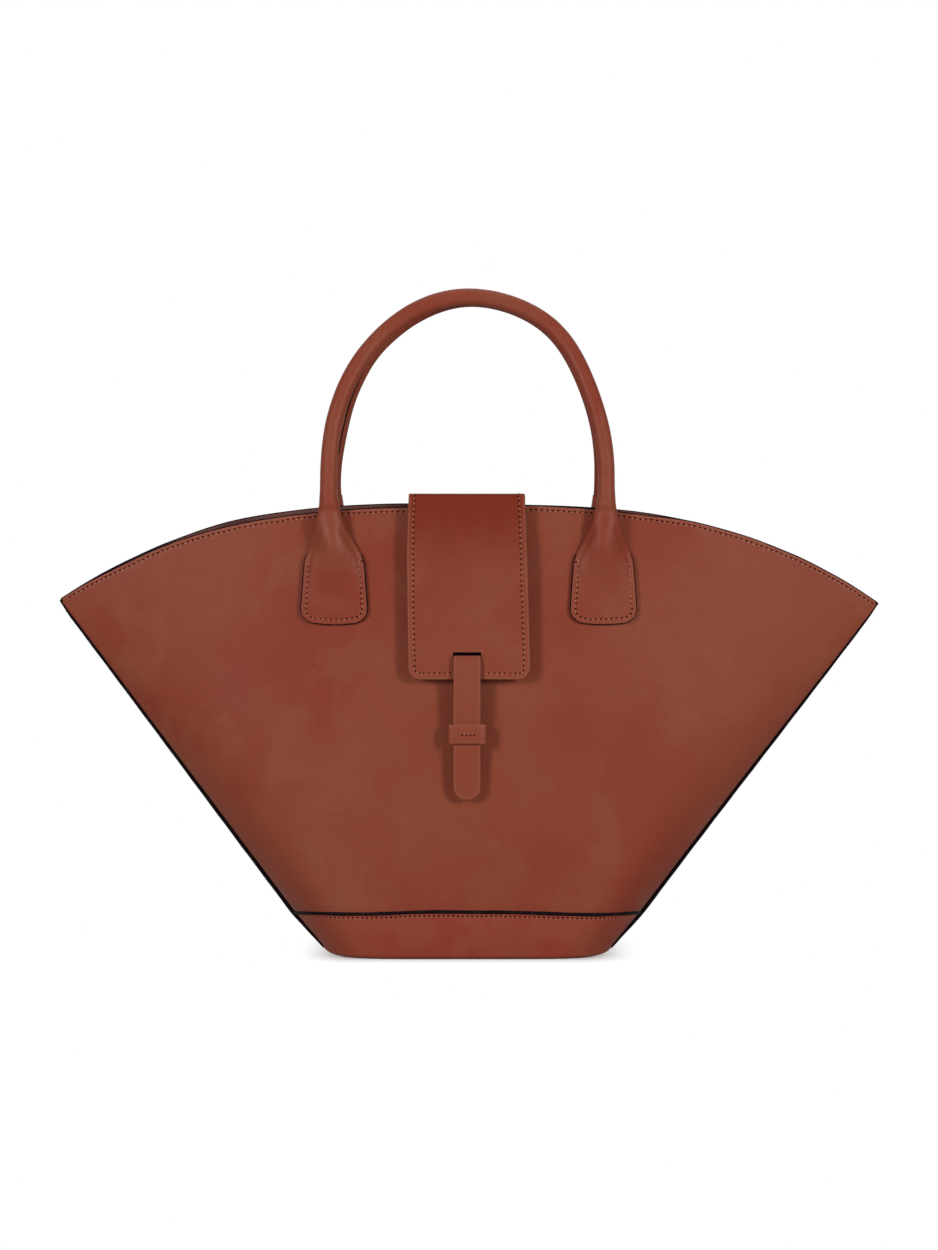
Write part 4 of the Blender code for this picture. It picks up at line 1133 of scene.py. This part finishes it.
def make_patch():
    """The strap's root, glued and sewn behind the flap above its slot."""
    top, low = SLOT_TOP + 0.0142, SLOT_TOP - 0.0030
    seat = LAYERS + GAP + 0.0014
    heights = [low + CLOSE[:5], np.linspace(low + 0.002, top - 0.002, 12), (top - CLOSE[:5])[::-1]]
    across = both_ways(CLOSE[:5] / STRAP_HALF_WIDTH, np.linspace(0.3, 1.0, 6))
    z, a = np.meshgrid(np.concatenate(heights), across, indexing="ij")
    off = a * (STRAP_HALF_WIDTH - drawn_in(top - z, 0.0040))
    gap = np.minimum(STRAP_HALF_WIDTH - np.abs(off), np.minimum(z - low, top - z))
    face = lean_point(off + STRAP_X, drawn_in(gap, 0.00045) - seat, z)
    back = lean_point(off + STRAP_X, -(LAYERS + 0.0001), z)
    # Painted shade: the patch's back, seen through the slot, is painted black for the shade there.
    obj = slab("strap_root_patch", face, back, (BODY_LEATHER, RAW_EDGE, BLACK_EDGE), back_slot=2)
    put(obj, "body_leather", "flap_face", "strap_anchor")
    edge = 0.0018
    side = STRAP_HALF_WIDTH - edge
    around = [(-side, low + 0.006), (-side, top - edge), (side, top - edge), (side, low + 0.006)]
    x, z = rounded_profile(around, (0.0012, 0.0012))[1].T
    row = stitches("strap_root_stitches", lean_point(x + STRAP_X, -seat, z), -OUTWARD, pitch=0.0028)
    put(row, "body_leather", "flap_face")


make_strap()
make_keeper()
make_patch()


# The hidden snap: a turned stud behind the flap and its socket on the front panel


def turned(name, profile, seat, toward, body, node):
    """A turned piece across the flap's plane. The profile is (radius, distance) from its seat."""
    sides = 64
    turn = np.linspace(0, 2 * math.pi, sides + 1)
    radius, distance = np.array(profile).T[..., None]
    height = SNAP_HEIGHT + radius * np.sin(turn) * math.cos(BODY_LEAN)
    grid = lean_point(radius * np.cos(turn), seat + toward * distance, height)
    starts = [r * (sides + 1) + c for r in range(len(profile) - 1) for c in range(sides)]
    faces = [(a, a + 1, a + sides + 2, a + sides + 1) for a in starts]
    obj = mesh_object(name, grid.reshape(-1, 3), faces, None, (PLATED,), merge=1e-6, flat_angle=35)
    put(obj, "snap_metal", body, node)


STUD_SEAT = -(LAYERS + GAP)
R = SNAP_RADIUS
stud = [(0, 0), (R, 0), (R, 0.0004), (R - 0.0003, 0.0007), (R - 0.0012, 0.0008), (R - 0.0016, 0.0005)]
stud += [(0.0032, 0.0005), (0.0029, 0.0008), (0.0028, 0.0012), (0.0024, 0.00135), (0, 0.00135)]
turned("snap_stud_cap", stud, STUD_SEAT, -1, "flap_face", "snap_stud")
socket = [(0, 0), (R, 0), (R, 0.0010), (R - 0.0004, 0.0015), (R - 0.0012, 0.0018), (R - 0.0020, 0.0017)]
socket += [(R - 0.0024, 0.0013), (0.0036, 0.0013), (0.0034, 0.0015), (0.0031, 0.0013), (0.0031, 0.0004), (0, 0.0004)]
turned("snap_socket_cup", socket, STUD_SEAT - 0.0013 - GAP - 0.0019, 1, "bag_body", "snap_socket")

# Pieces kept from the construction get their finish
for node_name, material in (("base_panel", BODY_LEATHER), ("base_lining", TWILL), ("base_stiffener", BOARD)):
    kept = frame["nodes"][node_name].data.materials
    kept.clear()
    kept.append(material)


# Floor, light and camera. The camera sees white, and the floor keeps the bag's shadow near the bag


def floor():
    n = Nodes("floor")
    apart = n.vector("ABSOLUTE", n.place)[0]
    apart = n.vector("SUBTRACT", apart, (0.060, 0.030, 0.0))[0]
    apart = n.vector("MAXIMUM", apart, (0.0, 0.0, 0.0))[0]
    far = n.remap(n.vector("LENGTH", apart)["Value"], 0.0, 0.034)
    rays = n.node("ShaderNodeLightPath").outputs
    tone = n.times(n.remap(n.noise(60.0), 0.3, 0.7, 0.950, 0.958), n.switch(rays["Is Diffuse Ray"], 0.62))
    colour = n.node("ShaderNodeCombineColor", {0: tone, 1: tone, 2: tone}).outputs[0]
    matt = n.node("ShaderNodeBsdfDiffuse", {"Color": colour}).outputs[0]
    strength = n.switch(rays["Is Glossy Ray"], 0.2)
    white = n.node("ShaderNodeEmission", {"Color": (1, 1, 1, 1), "Strength": strength}).outputs[0]
    seen = n.most(rays["Is Camera Ray"], rays["Is Glossy Ray"], rays["Is Transmission Ray"])
    material = n.surface(n.node("ShaderNodeMixShader", {0: n.times(far, seen), 1: matt, 2: white}))
    obj = mesh_object("floor", [(-4, -4, 0), (4, -4, 0), (4, 6, 0), (-4, 6, 0)], [range(4)], None, (material,))


def world():
    """Dim in front of the bag and brighter behind it, so that its back can be seen too."""
    n = Nodes("studio", bpy.data.worlds, "ShaderNodeOutputWorld")
    bpy.context.scene.world = n.owner
    split = n.node("ShaderNodeSeparateXYZ", {0: n.coordinates.outputs["Generated"]})
    behind = n.remap(split.outputs["Y"], 0.0, 0.7, 0.02, 0.45)
    rays = n.node("ShaderNodeLightPath").outputs
    seen = n.most(rays["Is Camera Ray"], n.times(rays["Is Glossy Ray"], 0.2), rays["Is Transmission Ray"])
    soft, white = (
        n.node("ShaderNodeBackground", {"Color": (1, 1, 1, 1), "Strength": strength}).outputs[0]
        for strength in (behind, 1.0)
    )
    n.surface(n.node("ShaderNodeMixShader", {0: seen, 1: soft, 2: white}))


def softbox(name, place, aim_height, width, height, power):
    data = bpy.data.lights.new(name, "AREA")
    data.shape = "RECTANGLE"
    data.size, data.size_y = width, height
    data.energy = power
    obj = linked(name, data)
    obj.location = place
    obj.rotation_euler = (Vector((0, 0, aim_height)) - Vector(place)).to_track_quat("-Z", "Y").to_euler()


def camera():
    data = bpy.data.cameras.new("camera")
    data.sensor_fit = "AUTO"
    data.sensor_width = 36.0
    data.lens = 4545 * 36.0 / 1250
    data.clip_start, data.clip_end = 0.05, 60.0
    obj = linked("camera", data)
    obj.location = (0.0008, -2.5, 0.3315)
    obj.rotation_euler = (math.radians(90 - 3.48), 0.0, 0.0)
    bpy.context.scene.camera = obj


floor()
world()
softbox("left", (-1.56, -1.80, 0.85), 0.16, 0.50, 0.7, 32.5)
softbox("right", (1.62, -1.80, 0.85), 0.16, 0.50, 0.7, 35)
softbox("top", (0.0, 0.2, 2.2), 0.1, 1.4, 1.0, 12)
softbox("back", (0.2, 2.2, 1.4), 0.16, 1.6, 1.0, 18)
camera()
bpy.context.scene.view_settings.view_transform = "Standard"
